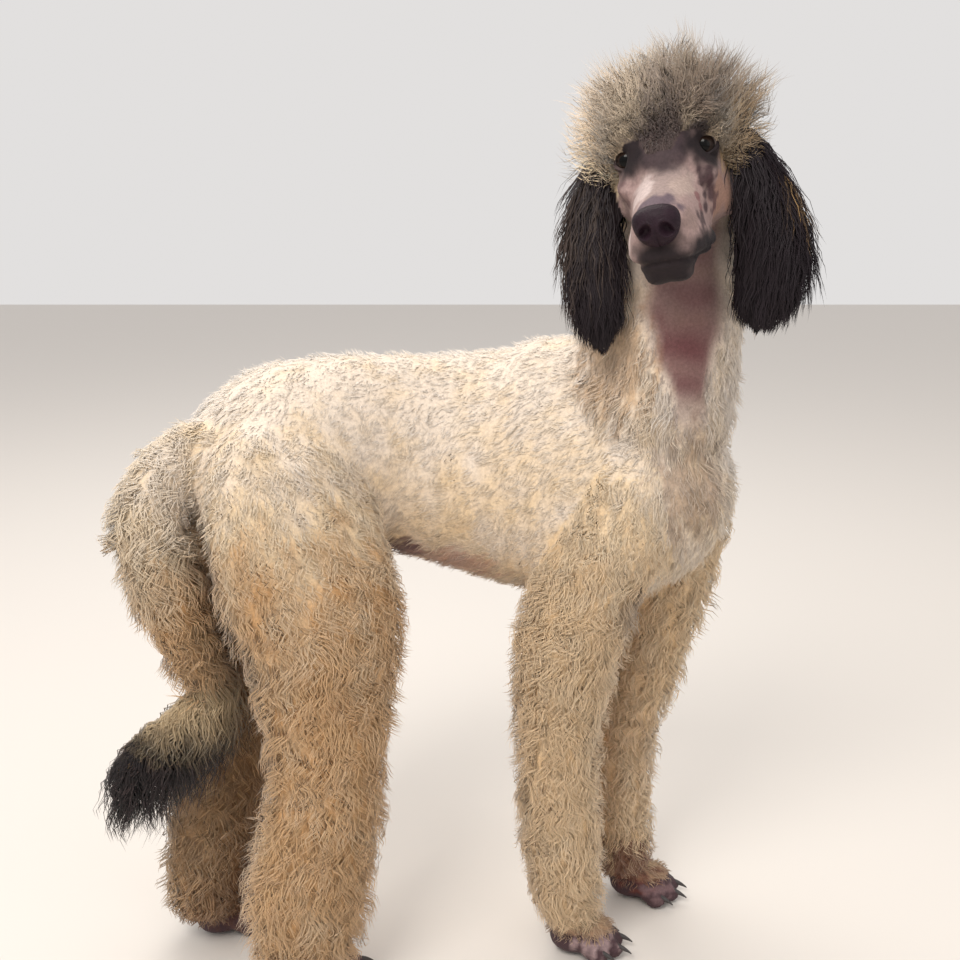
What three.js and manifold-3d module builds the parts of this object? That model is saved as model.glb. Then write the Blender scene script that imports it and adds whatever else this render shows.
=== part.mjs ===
// Standard poodle: a still, life-size model of the whole dog, standing with its body bent
// a little to its right and its head turned further to the right and tipped.
// Millimetres, +Z up. The dog faces +X and its left side is towards +Y.

import * as THREE from "three";
import { mergeVertices } from "three/addons/utils/BufferGeometryUtils.js";
import Module from "manifold-3d";

const wasm = await Module();
wasm.setup();

// Gap between neighbouring nodes, and the distance under which corners are one corner
const GAP = 0.35;
const MERGE = 1e-4;
const REACH = 1500;
const LEAST = 4;

// Seed of the coat's small variations
const SEED = 20251;

// Fleece of the legs and hips: spacing of its clumps along and round, their half sizes
// across, outward and along the lie, and the depth of the core under their tips
const FLEECE = { along: 120, round: 96, half: [38, 19, 54], core: 13 };

// Locks: half width and half thickness near the root
const CROWN_LOCK = { width: 26, thickness: 11 };
const EAR_LOCK = { width: 24, thickness: 7 };
const TAIL_LOCK = { width: 26, thickness: 7 };
const FRINGE_LOCK = { width: 15, thickness: 8 };
const FRINGE_LOCKS = 10;
const FRINGE_FOOT = 188;
const LOCK_LENGTHS = [0.82, 0.92, 1];

// Finishes: colour, roughness
const CREAM = [0xd9c7a2, 0.95];
const PALE = [0xe0d4bb, 0.95];
const TOPKNOT = [0xc9bda0, 0.95];
const EAR_BLACK = [0x2a2427, 0.8];
const FRINGE = [0xa99a80, 0.95];
const FACE = [0xd8c9bc, 0.85];
const LIP_DARK = [0x4a3d3f, 0.7];
const NOSE_BLACK = [0x171416, 0.45];
const EYE_DARK = [0x120c0a, 0.12];
const PAW_SKIN = [0x6d5a62, 0.75];
const CLAW_BLACK = [0x1d191b, 0.4];

// Forms run through stations: x, y, z, half width, half height or depth, heading in degrees.
// Trunk, from the buttocks to the breastbone
const TRUNK = [
  [-284, -56, 531, 24, 26, 38],
  [-264, -42, 532, 66, 60, 38],
  [-217, -6, 536, 92, 104, 36],
  [-157, 38, 542, 88, 109, 27],
  [-95, 68, 537, 83, 112, 12],
  [-30, 84, 526, 92, 123, -2],
  [35, 82, 519, 102, 137, -14],
  [95, 62, 521, 106, 149, -27],
  [147, 32, 515, 102, 142, -36],
  [190, 2, 512, 88, 106, -40],
  [220, -22, 510, 58, 66, -40],
  [234, -34, 508, 22, 26, -40],
];

// Neck, from inside the chest up into the skull
const NECK = [
  [142, 40, 545, 56, 64, -38],
  [162, 29, 596, 88, 96, -44],
  [174, 19, 645, 84, 88, -54],
  [181, 11, 690, 78, 80, -68],
  [185, 6, 735, 68, 71, -82],
  [187, 2, 780, 62, 64, -94],
  [187, -2, 822, 54, 58, -104],
  [187, -4, 850, 34, 36, -106],
];

// Right foreleg, from the shoulder down to the ankle
const FORE_RIGHT = [
  [132, -12, 588, 22, 36, -38],
  [132, -20, 545, 48, 66, -38],
  [126, -23, 490, 55, 75, -36],
  [110, -20, 435, 55, 69, -34],
  [95, -17, 385, 54, 63, -30],
  [85, -15, 330, 51, 59, -25],
  [83, -14, 275, 48, 51, -20],
  [81, -14, 225, 46, 49, -17],
  [84, -14, 172, 47, 50, -14],
  [87, -14, 115, 46, 48, -12],
  [94, -15, 64, 41, 42, -12],
  [101, -16, 26, 34, 37, -12],
];

// Left foreleg, which leans: its elbow is further forward than its wrist
const FORE_LEFT = [
  [204, 66, 588, 22, 34, -38],
  [210, 68, 545, 48, 62, -38],
  [212, 72, 492, 54, 70, -36],
  [203, 76, 435, 54, 67, -32],
  [196, 80, 385, 52, 60, -28],
  [186, 84, 330, 50, 55, -22],
  [174, 86, 275, 48, 51, -18],
  [163, 88, 225, 46, 48, -15],
  [157, 88, 172, 46, 48, -12],
  [157, 88, 118, 46, 47, -12],
  [164, 86, 66, 41, 43, -12],
  [171, 84, 26, 34, 37, -12],
];

// Right hind leg, from the hip down to the ankle
const HIND_RIGHT = [
  [-196, -50, 602, 20, 44, 36],
  [-190, -54, 562, 50, 80, 36],
  [-180, -58, 508, 64, 97, 36],
  [-165, -62, 450, 67, 98, 34],
  [-151, -68, 395, 64, 90, 32],
  [-150, -74, 335, 60, 79, 30],
  [-150, -80, 275, 57, 68, 28],
  [-153, -84, 220, 57, 66, 26],
  [-166, -86, 160, 58, 71, 24],
  [-174, -86, 105, 56, 69, 22],
  [-178, -84, 60, 51, 62, 20],
  [-176, -82, 24, 43, 53, 20],
];

// Left hind leg, set further back
const HIND_LEFT = [
  [-248, 34, 600, 20, 44, 36],
  [-250, 44, 560, 48, 78, 36],
  [-250, 52, 508, 60, 90, 36],
  [-244, 50, 450, 61, 88, 36],
  [-236, 46, 395, 59, 81, 36],
  [-240, 40, 335, 56, 71, 34],
  [-252, 33, 275, 54, 62, 32],
  [-268, 26, 220, 54, 58, 30],
  [-284, 18, 160, 54, 60, 28],
  [-292, 14, 105, 52, 59, 26],
  [-297, 12, 60, 48, 55, 24],
  [-298, 12, 24, 41, 47, 24],
];

// Tail, hanging from the rump, and its end that turns out behind with a fringe under it
const TAIL = [
  [-250, -32, 580, 18, 18, 38],
  [-274, -50, 570, 29, 28, 38],
  [-298, -69, 538, 39, 38, 38],
  [-308, -76, 496, 45, 42, 38],
  [-300, -72, 442, 39, 37, 38],
  [-285, -59, 386, 33, 32, 38],
  [-272, -50, 340, 28, 28, 38],
];
const TAIL_END = [
  [-262, -42, 352, 16, 16, 38],
  [-276, -52, 318, 17, 17, 38],
  [-302, -73, 296, 17, 17, 38],
  [-328, -93, 280, 15, 15, 38],
  [-348, -108, 262, 11, 11, 38],
];

// Head: the middle between the eyes, and how far it is turned, tipped down and tilted
const EYES_MIDDLE = [158, -85, 837];
const HEAD_TURN = -105.5;
const HEAD_TIP = 10;
const HEAD_TILT = 11;

// Skull and muzzle in the head's own frame: +X to the nose, +Y left, from the eyes' middle
const SKULL = [
  [-118, 0, 0, 12, 12, 0],
  [-104, 0, -4, 33, 34, 0],
  [-75, 0, -12, 48, 52, 0],
  [-40, 0, -22, 50, 60, 0],
  [-8, 0, -30, 44, 56, 0],
  [18, 0, -45, 36, 43, 0],
  [45, 0, -48, 31, 37, 0],
  [72, 0, -54, 28, 36, 0],
  [94, 0, -57, 25, 33, 0],
  [106, 0, -57, 15, 20, 0],
];
const EYE = { x: -4, y: 33, z: 0, radius: 11.5 };
const NOSE_AT = [104, 0, -39];
const NOSE_HALF = [13, 18.5, 16.5];
const MOUTH_CORNER = [36, -74];
const MOUTH_FRONT = [106, -68];

// Topknot and the hair behind the skull
const TOPKNOT_AT = [-58, 0, 20];
const TOPKNOT_HALF = [80, 101, 79];
const TOPKNOT_CORE = [54, 70, 52];
const TOPKNOT_LOCKS = 26;
const BROW_LINE = [8, 0, 20];
const BROW_SLOPE = 24;
const NAPE_AT = [226, 4, 812];
const NAPE_HALF = [78, 56, 66];
const NAPE_CORE = [48, 34, 42];
const NAPE_LOCKS = 11;

// A place on the plane at the back of the ears
const EARS_BACK = [266, -22, 800];

// Ears, hanging straight down from the sides of the skull
const EAR_LEFT = [
  [218, -56, 860, 16, 22, -107],
  [234, -60, 838, 26, 34, -107],
  [249, -66, 800, 41, 42, -107],
  [259, -70, 755, 48, 44, -107],
  [252, -72, 712, 32, 32, -107],
  [246, -73, 684, 8, 10, -107],
];
const EAR_RIGHT = [
  [124, -26, 842, 14, 20, -107],
  [112, -33, 822, 24, 34, -107],
  [104, -42, 785, 34, 42, -107],
  [103, -52, 740, 34, 42, -107],
  [108, -60, 695, 25, 32, -107],
  [114, -64, 662, 8, 10, -107],
];

// Height of the coat's hem over the paws
const HEM = 33;

// Paws: where the middle of each stands, and where it points
const PAWS = {
  fore_right: { at: [114, -20], heading: -10 },
  fore_left: { at: [190, 80], heading: -10 },
  hind_right: { at: [-158, -76], heading: 18 },
  hind_left: { at: [-278, 20], heading: 22 },
};
const TOES = [
  [15, -21, -9],
  [27, -7.5, -3],
  [27, 7.5, 3],
  [15, 21, 9],
];
const TOE_HALF = [17, 8.4, 13];
const CLAW_LENGTH = 17;
const CLAW_RADIUS = 3.6;

function radians(degrees) {
  return THREE.MathUtils.degToRad(degrees);
}

// A closed solid from a geometry
function toSolid(geometry) {
  const bare = new THREE.BufferGeometry();
  bare.setAttribute("position", geometry.getAttribute("position"));
  bare.setIndex(geometry.getIndex());
  const merged = mergeVertices(bare, MERGE);
  return new wasm.Manifold(
    new wasm.Mesh({
      numProp: 3,
      vertProperties: merged.attributes.position.array,
      triVerts: new Uint32Array(merged.index.array),
    }),
  );
}

// A bent body form through its stations, which gives any place on its surface
class Form {
  constructor(stations, ring, steps) {
    const places = stations.map((s) => new THREE.Vector3(s[0], s[1], s[2]));
    const girths = stations.map((s) => new THREE.Vector3(s[3], s[4], s[5]));
    this.path = new THREE.CatmullRomCurve3(places, false, "catmullrom");
    this.girth = new THREE.CatmullRomCurve3(girths, false, "catmullrom");
    this.ring = ring;
    this.steps = steps;
  }

  // Middle, axes and half sizes at the share t of the way along
  frame(t) {
    const girth = this.girth.getPoint(t);
    const heading = radians(girth.z);
    const tangent = this.path.getTangent(t);
    const across = new THREE.Vector3(-Math.sin(heading), Math.cos(heading), 0);
    const depth = new THREE.Vector3().crossVectors(tangent, across).normalize();
    const side = new THREE.Vector3().crossVectors(depth, tangent).normalize();
    return { middle: this.path.getPoint(t), tangent, side, depth, girth };
  }

  // A place at an angle round the form, its half sizes changed by grow
  place(t, angle, grow) {
    const { middle, side, depth, girth } = this.frame(t);
    return middle
      .addScaledVector(side, Math.cos(angle) * (girth.x + grow))
      .addScaledVector(depth, Math.sin(angle) * (girth.y + grow));
  }

  geometry(grow = 0) {
    const tube = new THREE.CylinderGeometry(1, 1, 1, this.ring, this.steps);
    const corner = new THREE.Vector3();
    const positions = tube.getAttribute("position");
    for (let i = 0; i < positions.count; i += 1) {
      corner.fromBufferAttribute(positions, i);
      const t = THREE.MathUtils.clamp(0.5 - corner.y, 0, 1);
      const { middle, tangent, side, depth, girth } = this.frame(t);
      const end = Math.abs(corner.y) > 0.4999 ? -Math.sign(corner.y) * grow : 0;
      middle
        .addScaledVector(side, corner.x * Math.max(girth.x + grow, LEAST))
        .addScaledVector(depth, corner.z * Math.max(girth.y + grow, LEAST))
        .addScaledVector(tangent, end);
      positions.setXYZ(i, middle.x, middle.y, middle.z);
    }
    return tube;
  }

  solid(grow = 0) {
    return toSolid(this.geometry(grow));
  }
}

// An ellipsoid of given half sizes, placed by a matrix
function ellipsoid(half, matrix, grow = 0, around = 16, rings = 10) {
  const ball = new THREE.SphereGeometry(1, around, rings);
  ball.scale(half[0] + grow, half[1] + grow, half[2] + grow);
  ball.applyMatrix4(matrix);
  return toSolid(ball);
}

function moved(x, y, z) {
  return new THREE.Matrix4().makeTranslation(x, y, z);
}

function turned(heading, tip = 0, tilt = 0) {
  const angles = new THREE.Euler(radians(tilt), radians(tip), radians(heading), "ZYX");
  return new THREE.Matrix4().makeRotationFromEuler(angles);
}

// All the space on the side of a plane that its normal points to, from half a gap away
function beyond(point, normal, away = GAP / 2) {
  const block = new THREE.BoxGeometry(REACH, REACH, REACH);
  block.translate(0, 0, REACH / 2 + away);
  const up = new THREE.Vector3(0, 0, 1);
  const turn = new THREE.Quaternion().setFromUnitVectors(up, normal.clone().normalize());
  block.applyQuaternion(turn);
  block.translate(point.x, point.y, point.z);
  return toSolid(block);
}

// Repeatable numbers from 0 to 1
function randomFrom(seed) {
  let state = seed;
  return () => {
    state = (state * 1664525 + 1013904223) % 4294967296;
    return state / 4294967296;
  };
}

// Evenly spread directions over a ball
function spread(count) {
  const golden = Math.PI * (3 - Math.sqrt(5));
  return Array.from({ length: count }, (_, i) => {
    const z = 1 - (2 * i + 1) / count;
    const flat = Math.sqrt(1 - z * z);
    return new THREE.Vector3(flat * Math.cos(i * golden), flat * Math.sin(i * golden), z);
  });
}

// A flat lock of hair through its points, root first, its flat side turned to outward
function lock(points, outward, size) {
  const path = new THREE.CatmullRomCurve3(points);
  const strand = new THREE.CylinderGeometry(0, 1, 1, 4, 3);
  const positions = strand.getAttribute("position");
  const corner = new THREE.Vector3();
  for (let i = 0; i < positions.count; i += 1) {
    corner.fromBufferAttribute(positions, i);
    const t = THREE.MathUtils.clamp(corner.y + 0.5, 0, 1);
    const along = path.getTangent(t);
    const across = new THREE.Vector3().crossVectors(along, outward).normalize();
    const normal = new THREE.Vector3().crossVectors(across, along).normalize();
    const fullness = t > 0.99 ? 0 : Math.sqrt(1 - t) / (1 - t);
    const place = path
      .getPoint(t)
      .addScaledVector(across, corner.x * fullness * size.width)
      .addScaledVector(normal, corner.z * fullness * size.thickness);
    positions.setXYZ(i, place.x, place.y, place.z);
  }
  return toSolid(strand);
}

// A rounded clump of fleece, its middle under the coat's surface
function clump(place, outward, along, half, turn) {
  const ball = new THREE.IcosahedronGeometry(1, 0);
  ball.scale(...half);
  ball.rotateY(turn);
  const across = new THREE.Vector3().crossVectors(outward, along).normalize();
  const lie = new THREE.Vector3().crossVectors(across, outward).normalize();
  ball.applyMatrix4(new THREE.Matrix4().makeBasis(across, outward, lie));
  ball.translate(place.x, place.y, place.z);
  return toSolid(ball);
}

// Clumps set close over a form between two shares of its length
function fleece(form, from, to, random) {
  const clumps = [];
  const rows = Math.round((form.path.getLength() * (to - from)) / FLEECE.along);
  for (let row = 0; row < rows; row += 1) {
    const t = from + ((row + 0.5) / rows) * (to - from);
    const { middle, tangent, girth } = form.frame(t);
    const round = (Math.PI * (girth.x + girth.y)) / FLEECE.round;
    const count = Math.max(4, Math.round(round));
    for (let i = 0; i < count; i += 1) {
      const angle = ((i + 0.5 * (row % 2) + 0.3 * random()) / count) * 2 * Math.PI;
      const share = THREE.MathUtils.clamp(t + (0.3 * (random() - 0.5) * (to - from)) / rows, 0, 1);
      const outward = form.place(share, angle, 0).sub(middle);
      outward.addScaledVector(tangent, -outward.dot(tangent)).normalize();
      const size = 0.88 + 0.24 * random();
      const half = FLEECE.half.map((h) => h * size);
      const place = form.place(share, angle, -half[1] - 1 + 2 * random());
      clumps.push(clump(place, outward, tangent, half, 0.5 * (random() - 0.5)));
    }
  }
  return wasm.Manifold.union(clumps);
}

// Locks lying down a form, from its core to its surface, in staggered rows
function shingle(form, rows, round, size, reach, random) {
  const locks = [];
  for (let row = 0; row < rows; row += 1) {
    for (let i = 0; i < round; i += 1) {
      const t = 0.02 + (row / rows) * 0.9;
      const angle = ((i + 0.5 * (row % 2) + 0.3 * random()) / round) * 2 * Math.PI;
      const length = reach * LOCK_LENGTHS[Math.floor(3 * random())];
      const sway = 0.5 * (random() - 0.5);
      const points = [0, 0.35, 0.7, 1].map((s) => {
        const share = Math.min(t + s * length, 1);
        const depth = s < 0.2 ? -0.55 : s < 0.5 ? -0.12 : s < 0.8 ? -0.05 : -0.02;
        const { girth } = form.frame(share);
        return form.place(share, angle + sway * s * s, depth * (girth.x + girth.y) * 0.5);
      });
      const outward = form.place(t, angle, 10).sub(form.place(t, angle, 0));
      locks.push(lock(points, outward, size));
    }
  }
  return wasm.Manifold.union(locks);
}

// The tail's end, with long locks that leave it outwards and fall
function tailEnd() {
  const form = new Form(TAIL_END, 8, 6);
  const random = randomFrom(SEED + 7);
  const locks = [];
  for (let i = 0; i < FRINGE_LOCKS; i += 1) {
    const share = 0.2 + (0.78 * i) / (FRINGE_LOCKS - 1);
    const { middle, side, tangent } = form.frame(share);
    const flat = tangent.clone().setZ(0).normalize();
    const sideways = ((i % 3) - 1) * 11;
    const fall = middle.z + 10 - FRINGE_FOOT - 26 * (1 - LOCK_LENGTHS[i % 3]);
    const points = [
      [-4, 0],
      [14, 0.22],
      [26 + 6 * random(), 0.6],
      [22 + 12 * random(), 1],
    ].map(([out, drop]) =>
      middle
        .clone()
        .addScaledVector(flat, out * (0.5 + 0.5 * share))
        .addScaledVector(side, sideways * (0.4 + drop))
        .add(new THREE.Vector3(0, 0, 8 - drop * fall)),
    );
    locks.push(lock(points, side, FRINGE_LOCK));
  }
  return form.solid().add(wasm.Manifold.union(locks));
}

function largest(solid) {
  return solid.decompose().reduce((a, b) => (a.volume() > b.volume() ? a : b));
}

function union(solids) {
  return solids.reduce((a, b) => a.add(b));
}

const poodle = new THREE.Group();

function addNode(name, solid, finish) {
  const mesh = largest(solid).getMesh();
  const geometry = new THREE.BufferGeometry();
  geometry.setAttribute("position", new THREE.BufferAttribute(mesh.vertProperties, 3));
  geometry.setIndex(new THREE.BufferAttribute(mesh.triVerts, 1));
  geometry.computeVertexNormals();
  const [color, roughness] = finish;
  const material = new THREE.MeshStandardMaterial({ color, roughness, metalness: 0 });
  const part = new THREE.Mesh(geometry, material);
  part.name = name;
  poodle.add(part);
}

// The head's own frame in the dog
const headFrame = moved(...EYES_MIDDLE).multiply(turned(HEAD_TURN, HEAD_TIP, HEAD_TILT));

function inHead(x, y, z) {
  return headFrame.clone().multiply(moved(x, y, z));
}

function headForm(stations, ring, steps, grow) {
  const geometry = new Form(stations, ring, steps).geometry(grow);
  geometry.applyMatrix4(headFrame);
  return toSolid(geometry);
}

// Eyeballs
function eyeball(sign, grow = 0) {
  const half = [EYE.radius, EYE.radius, EYE.radius];
  return ellipsoid(half, inHead(EYE.x, sign * EYE.y, EYE.z), grow, 10, 8);
}

// Nose leather with its nostrils
function noseLeather(grow = 0) {
  return ellipsoid(NOSE_HALF, inHead(...NOSE_AT), grow, 10, 8);
}

function nostrils() {
  const holes = [-1, 1].map((sign) => {
    const at = inHead(NOSE_AT[0] + 11, sign * 8, NOSE_AT[2] - 1);
    return ellipsoid([8, 3.6, 4.4], at.multiply(turned(sign * 20)), 0, 8, 6);
  });
  return union(holes);
}

// Skull and muzzle, without the hair
function skull(grow = 0) {
  const cheeks = [-1, 1].map((sign) =>
    ellipsoid([34, 14, 30], inHead(-38, sign * 38, -40), grow, 10, 6),
  );
  const lips = [-1, 1].map((sign) =>
    ellipsoid([33, 10, 14], inHead(61, sign * 22.5, -60), grow, 14, 8),
  );
  const lids = [-1, 1].map((sign) =>
    ellipsoid([12, 15, 11], inHead(-7, sign * 31.5, 0), grow, 10, 6),
  );
  return union([headForm(SKULL, 18, 16, grow), ...cheeks, ...lips, ...lids]);
}

// The brow line drops towards the nape: the topknot is above it and the ears are below.
// The nape's hair is behind the ears.
const browPoint = new THREE.Vector3(...BROW_LINE).applyMatrix4(headFrame);
const browUp = new THREE.Vector3(0, 0, 1).transformDirection(
  headFrame.clone().multiply(turned(0, -BROW_SLOPE)),
);
const overBrow = beyond(browPoint, browUp);
const underBrow = beyond(browPoint, browUp.clone().negate());
const earsBack = new THREE.Vector3(...EARS_BACK);
const back = new THREE.Vector3(-1, 0, 0).transformDirection(turned(HEAD_TURN));
const behindEars = beyond(earsBack, back);
const beforeNape = beyond(earsBack, back.clone().negate());

// Locks standing out of a core all round, bent over at their tips, where wanted says so
function puff(frame, half, core, count, lift, wanted) {
  const random = randomFrom(SEED + count);
  const locks = [];
  for (const way of spread(count)) {
    const bend = new THREE.Vector3(random() - 0.5, random() - 0.5, random() - 0.5);
    const length = LOCK_LENGTHS[Math.floor(3 * random())] + 0.06 * random();
    const at = (share, drift) =>
      new THREE.Vector3(
        way.x * (core[0] + (half[0] - core[0]) * share),
        way.y * (core[1] + (half[1] - core[1]) * share),
        way.z * (core[2] + (half[2] - core[2]) * share),
      )
        .addScaledVector(bend, 36 * drift)
        .addScaledVector(lift, 12 * drift)
        .applyMatrix4(frame);
    const points = [at(-0.5, 0), at(0.35 * length, 0.1), at(0.75 * length, 0.45), at(0.98 * length, 1)];
    if (wanted(points[3])) {
      const turn = new THREE.Vector3().crossVectors(way, bend).normalize();
      locks.push(lock(points, turn.transformDirection(frame), CROWN_LOCK));
    }
  }
  return wasm.Manifold.union(locks);
}

function topknot() {
  const crown = inHead(...TOPKNOT_AT);
  const nape = moved(...NAPE_AT);
  const up = new THREE.Vector3(-0.3, 0, 0.6);
  const down = new THREE.Vector3(0.3, 0.2, -0.9);
  const onCrown = (tip) => tip.clone().sub(browPoint).dot(browUp) > 6;
  const onNape = (tip) => tip.x + 1.2 * tip.y > NAPE_AT[0] - 8 && tip.z < NAPE_AT[2] + 60;
  const crownHair = ellipsoid(TOPKNOT_CORE, crown, 0, 14, 9).add(
    puff(crown, TOPKNOT_HALF, TOPKNOT_CORE, TOPKNOT_LOCKS, up, onCrown),
  );
  const napeHair = ellipsoid(NAPE_CORE, nape, 0, 10, 7).add(
    puff(nape, NAPE_HALF, NAPE_CORE, NAPE_LOCKS, down, onNape),
  );
  return crownHair.intersect(overBrow).add(napeHair.intersect(behindEars));
}

// Below the line of the mouth and in front of its corner
function jawSpace(away) {
  const corner = new THREE.Vector3(MOUTH_CORNER[0], 0, MOUTH_CORNER[1]).applyMatrix4(headFrame);
  const drop = MOUTH_FRONT[1] - MOUTH_CORNER[1];
  const run = MOUTH_FRONT[0] - MOUTH_CORNER[0];
  const down = new THREE.Vector3(drop / run, 0, -1).transformDirection(headFrame);
  const ahead = new THREE.Vector3(1, 0, 0).transformDirection(headFrame);
  return beyond(corner, down, away).intersect(beyond(corner, ahead, away));
}

const eyes = union([eyeball(-1, GAP), eyeball(1, GAP)]);
const nose = noseLeather().subtract(nostrils());
const skullGrown = skull(GAP);
const headWhole = skull().subtract(eyes).subtract(noseLeather(GAP));
const jaw = largest(skull().intersect(jawSpace(GAP / 2)).subtract(noseLeather(GAP)));
const head = headWhole.subtract(jawSpace(-GAP / 2).intersect(skull(GAP)));

addNode("head", head, FACE);
addNode("jaw", jaw, LIP_DARK);
addNode("nose", nose, NOSE_BLACK);
addNode("eye_left", eyeball(1), EYE_DARK);
addNode("eye_right", eyeball(-1), EYE_DARK);

// Neck, up to the underside of the head
const neckForm = new Form(NECK, 14, 9);
addNode("neck", neckForm.solid().subtract(skullGrown), PALE);

// Topknot and nape hair, over the head and neck
const underHair = skullGrown.add(neckForm.solid(GAP));
addNode("topknot", topknot().subtract(underHair), TOPKNOT);

// Ears, clear of the head and neck
for (const [name, stations] of Object.entries({ ear_left: EAR_LEFT, ear_right: EAR_RIGHT })) {
  const form = new Form(stations, 8, 6);
  const flap = new Form(stations.map((s) => [s[0], s[1], s[2], 0.5 * s[3], 0.5 * s[4], s[5]]), 8, 6);
  const hair = shingle(form, 3, 3, EAR_LOCK, 0.55, randomFrom(SEED));
  const ear = flap.solid().add(hair).intersect(underBrow).intersect(beforeNape);
  addNode(name, ear.subtract(underHair), EAR_BLACK);
}

// Paws with four toes, and a claw on each toe
function pawFrame(paw) {
  return moved(paw.at[0], paw.at[1], 0).multiply(turned(paw.heading));
}

function claw(paw, toe, grow = 0) {
  const [x, y, splay] = toe;
  const cone = new THREE.CylinderGeometry(0.9 + grow, CLAW_RADIUS + grow, CLAW_LENGTH + 2 * grow, 5, 2);
  const positions = cone.getAttribute("position");
  for (let i = 0; i < positions.count; i += 1) {
    const along = positions.getY(i) + CLAW_LENGTH / 2;
    positions.setZ(i, positions.getZ(i) - (along * along) / 55);
  }
  cone.rotateZ(-Math.PI / 2);
  cone.rotateY(radians(6));
  const root = pawFrame(paw).multiply(turned(splay)).multiply(moved(x + 17, y, 14.5));
  cone.applyMatrix4(root);
  return toSolid(cone);
}

function pawSolid(paw) {
  const frame = pawFrame(paw);
  const pads = [
    ellipsoid([26, 24, 19], frame.clone().multiply(moved(-14, 0, 17)), 0, 8, 4),
    ellipsoid([32, 27, 21], frame.clone().multiply(moved(4, 0, 24)), 0, 8, 4),
  ];
  const toes = TOES.map(([x, y, splay]) => {
    const at = frame.clone().multiply(turned(splay)).multiply(moved(x, y, 10.5));
    return ellipsoid(TOE_HALF, at, 0, 5, 4);
  });
  const up = new THREE.Vector3(0, 0, 1);
  const floor = beyond(new THREE.Vector3(), up, 0);
  const underHem = beyond(new THREE.Vector3(0, 0, HEM), up.clone().negate());
  return union([...pads, ...toes]).intersect(floor).intersect(underHem);
}

for (const [name, paw] of Object.entries(PAWS)) {
  let solid = pawSolid(paw);
  TOES.forEach((toe, i) => {
    solid = solid.subtract(claw(paw, toe, GAP));
    addNode(name + "_claw_" + (i + 1), claw(paw, toe), CLAW_BLACK);
  });
  addNode(name + "_paw", solid, PAW_SKIN);
}

// The inner part of the trunk, which the tops of the legs leave whole
const core = TRUNK.map((s) => [s[0], s[1], s[2], 0.55 * s[3], 0.8 * s[4], s[5]]);
const coreForm = new Form(core, 12, 12);

const LEGS = {
  fore_right: { stations: FORE_RIGHT, joint: 4 },
  fore_left: { stations: FORE_LEFT, joint: 4 },
  hind_right: { stations: HIND_RIGHT, joint: 5 },
  hind_left: { stations: HIND_LEFT, joint: 5 },
};

const trunkForm = new Form(TRUNK, 18, 18);
const trunkRoom = trunkForm.solid(3 * GAP);
const overHem = beyond(new THREE.Vector3(0, 0, HEM), new THREE.Vector3(0, 0, 1));
const legRoom = [];
let around = neckForm.solid(GAP);
for (const [name, leg] of Object.entries(LEGS)) {
  const form = new Form(leg.stations, 8, 6);
  const random = randomFrom(SEED + leg.joint + name.length);
  const inner = form.solid(-FLEECE.core).subtract(coreForm.solid(GAP));
  const clumps = fleece(form, 0.06, 0.97, random).subtract(trunkRoom);
  const whole = inner.add(clumps).subtract(around).intersect(overHem);
  const joint = new THREE.Vector3(...leg.stations[leg.joint]);
  const down = new THREE.Vector3(0, 0, -1);
  addNode(name + "_upper", whole.subtract(beyond(joint, down, -GAP / 2)), CREAM);
  addNode(name + "_lower", whole.intersect(beyond(joint, down)), CREAM);
  legRoom.push(form.solid(GAP - FLEECE.core));
  around = around.add(new Form(leg.stations, 12, 8).solid(9));
}

// Tail in two lengths, clear of the thighs
const tailForm = new Form(TAIL, 8, 7);
const tailBone = new Form(TAIL.map((s) => [s[0], s[1], s[2], 0.5 * s[3], 0.5 * s[4], s[5]]), 8, 7);
const tailHair = shingle(tailForm, 3, 3, TAIL_LOCK, 0.46, randomFrom(SEED + 5));
const tail = tailBone.solid().subtract(coreForm.solid(GAP)).add(tailHair.subtract(trunkRoom));
addNode("tail", tail.subtract(around), CREAM);
addNode("tail_end", tailEnd().subtract(tailForm.solid(GAP)).subtract(around), FRINGE);

// Trunk in three lengths, with room for the tops of the legs, the neck and the tail
const outer = union(legRoom).add(tailBone.solid(GAP)).subtract(coreForm.solid());
const trunk = trunkForm.solid().subtract(outer).subtract(neckForm.solid(GAP));
const hips = new THREE.Vector3(-125, 55, 545);
const hipsAhead = new THREE.Vector3(Math.cos(radians(20)), Math.sin(radians(20)), 0);
const ribs = new THREE.Vector3(35, 82, 522);
const ribsAhead = new THREE.Vector3(Math.cos(radians(-14)), Math.sin(radians(-14)), 0);
addNode("rump", trunk.intersect(beyond(hips, hipsAhead.clone().negate())), CREAM);
const middle = beyond(hips, hipsAhead).intersect(beyond(ribs, ribsAhead.clone().negate()));
addNode("loin", trunk.intersect(middle), PALE);
addNode("chest", trunk.intersect(beyond(ribs, ribsAhead)), CREAM);

// The object stands with the middle of its box over the origin
const box = new THREE.Box3().setFromObject(poodle);
const centre = box.getCenter(new THREE.Vector3());
for (const part of poodle.children) {
  part.geometry.translate(-centre.x, -centre.y, -box.min.z);
}

export default poodle;
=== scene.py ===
"""A standing standard poodle: skin, coat in tufts, eyes, nose and claws, with floor, lights, camera.

Sizes are in millimetres in the dog's own frame until a mesh is finished: +X to the dog's front,
+Y to its left, +Z up from the floor. Finished meshes are in metres in the frame of the solids.
"""

import logging
import math
from dataclasses import dataclass, field
from enum import Enum

import bmesh
import bpy
import numpy as np
from mathutils import Euler, Matrix, Vector


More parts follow.
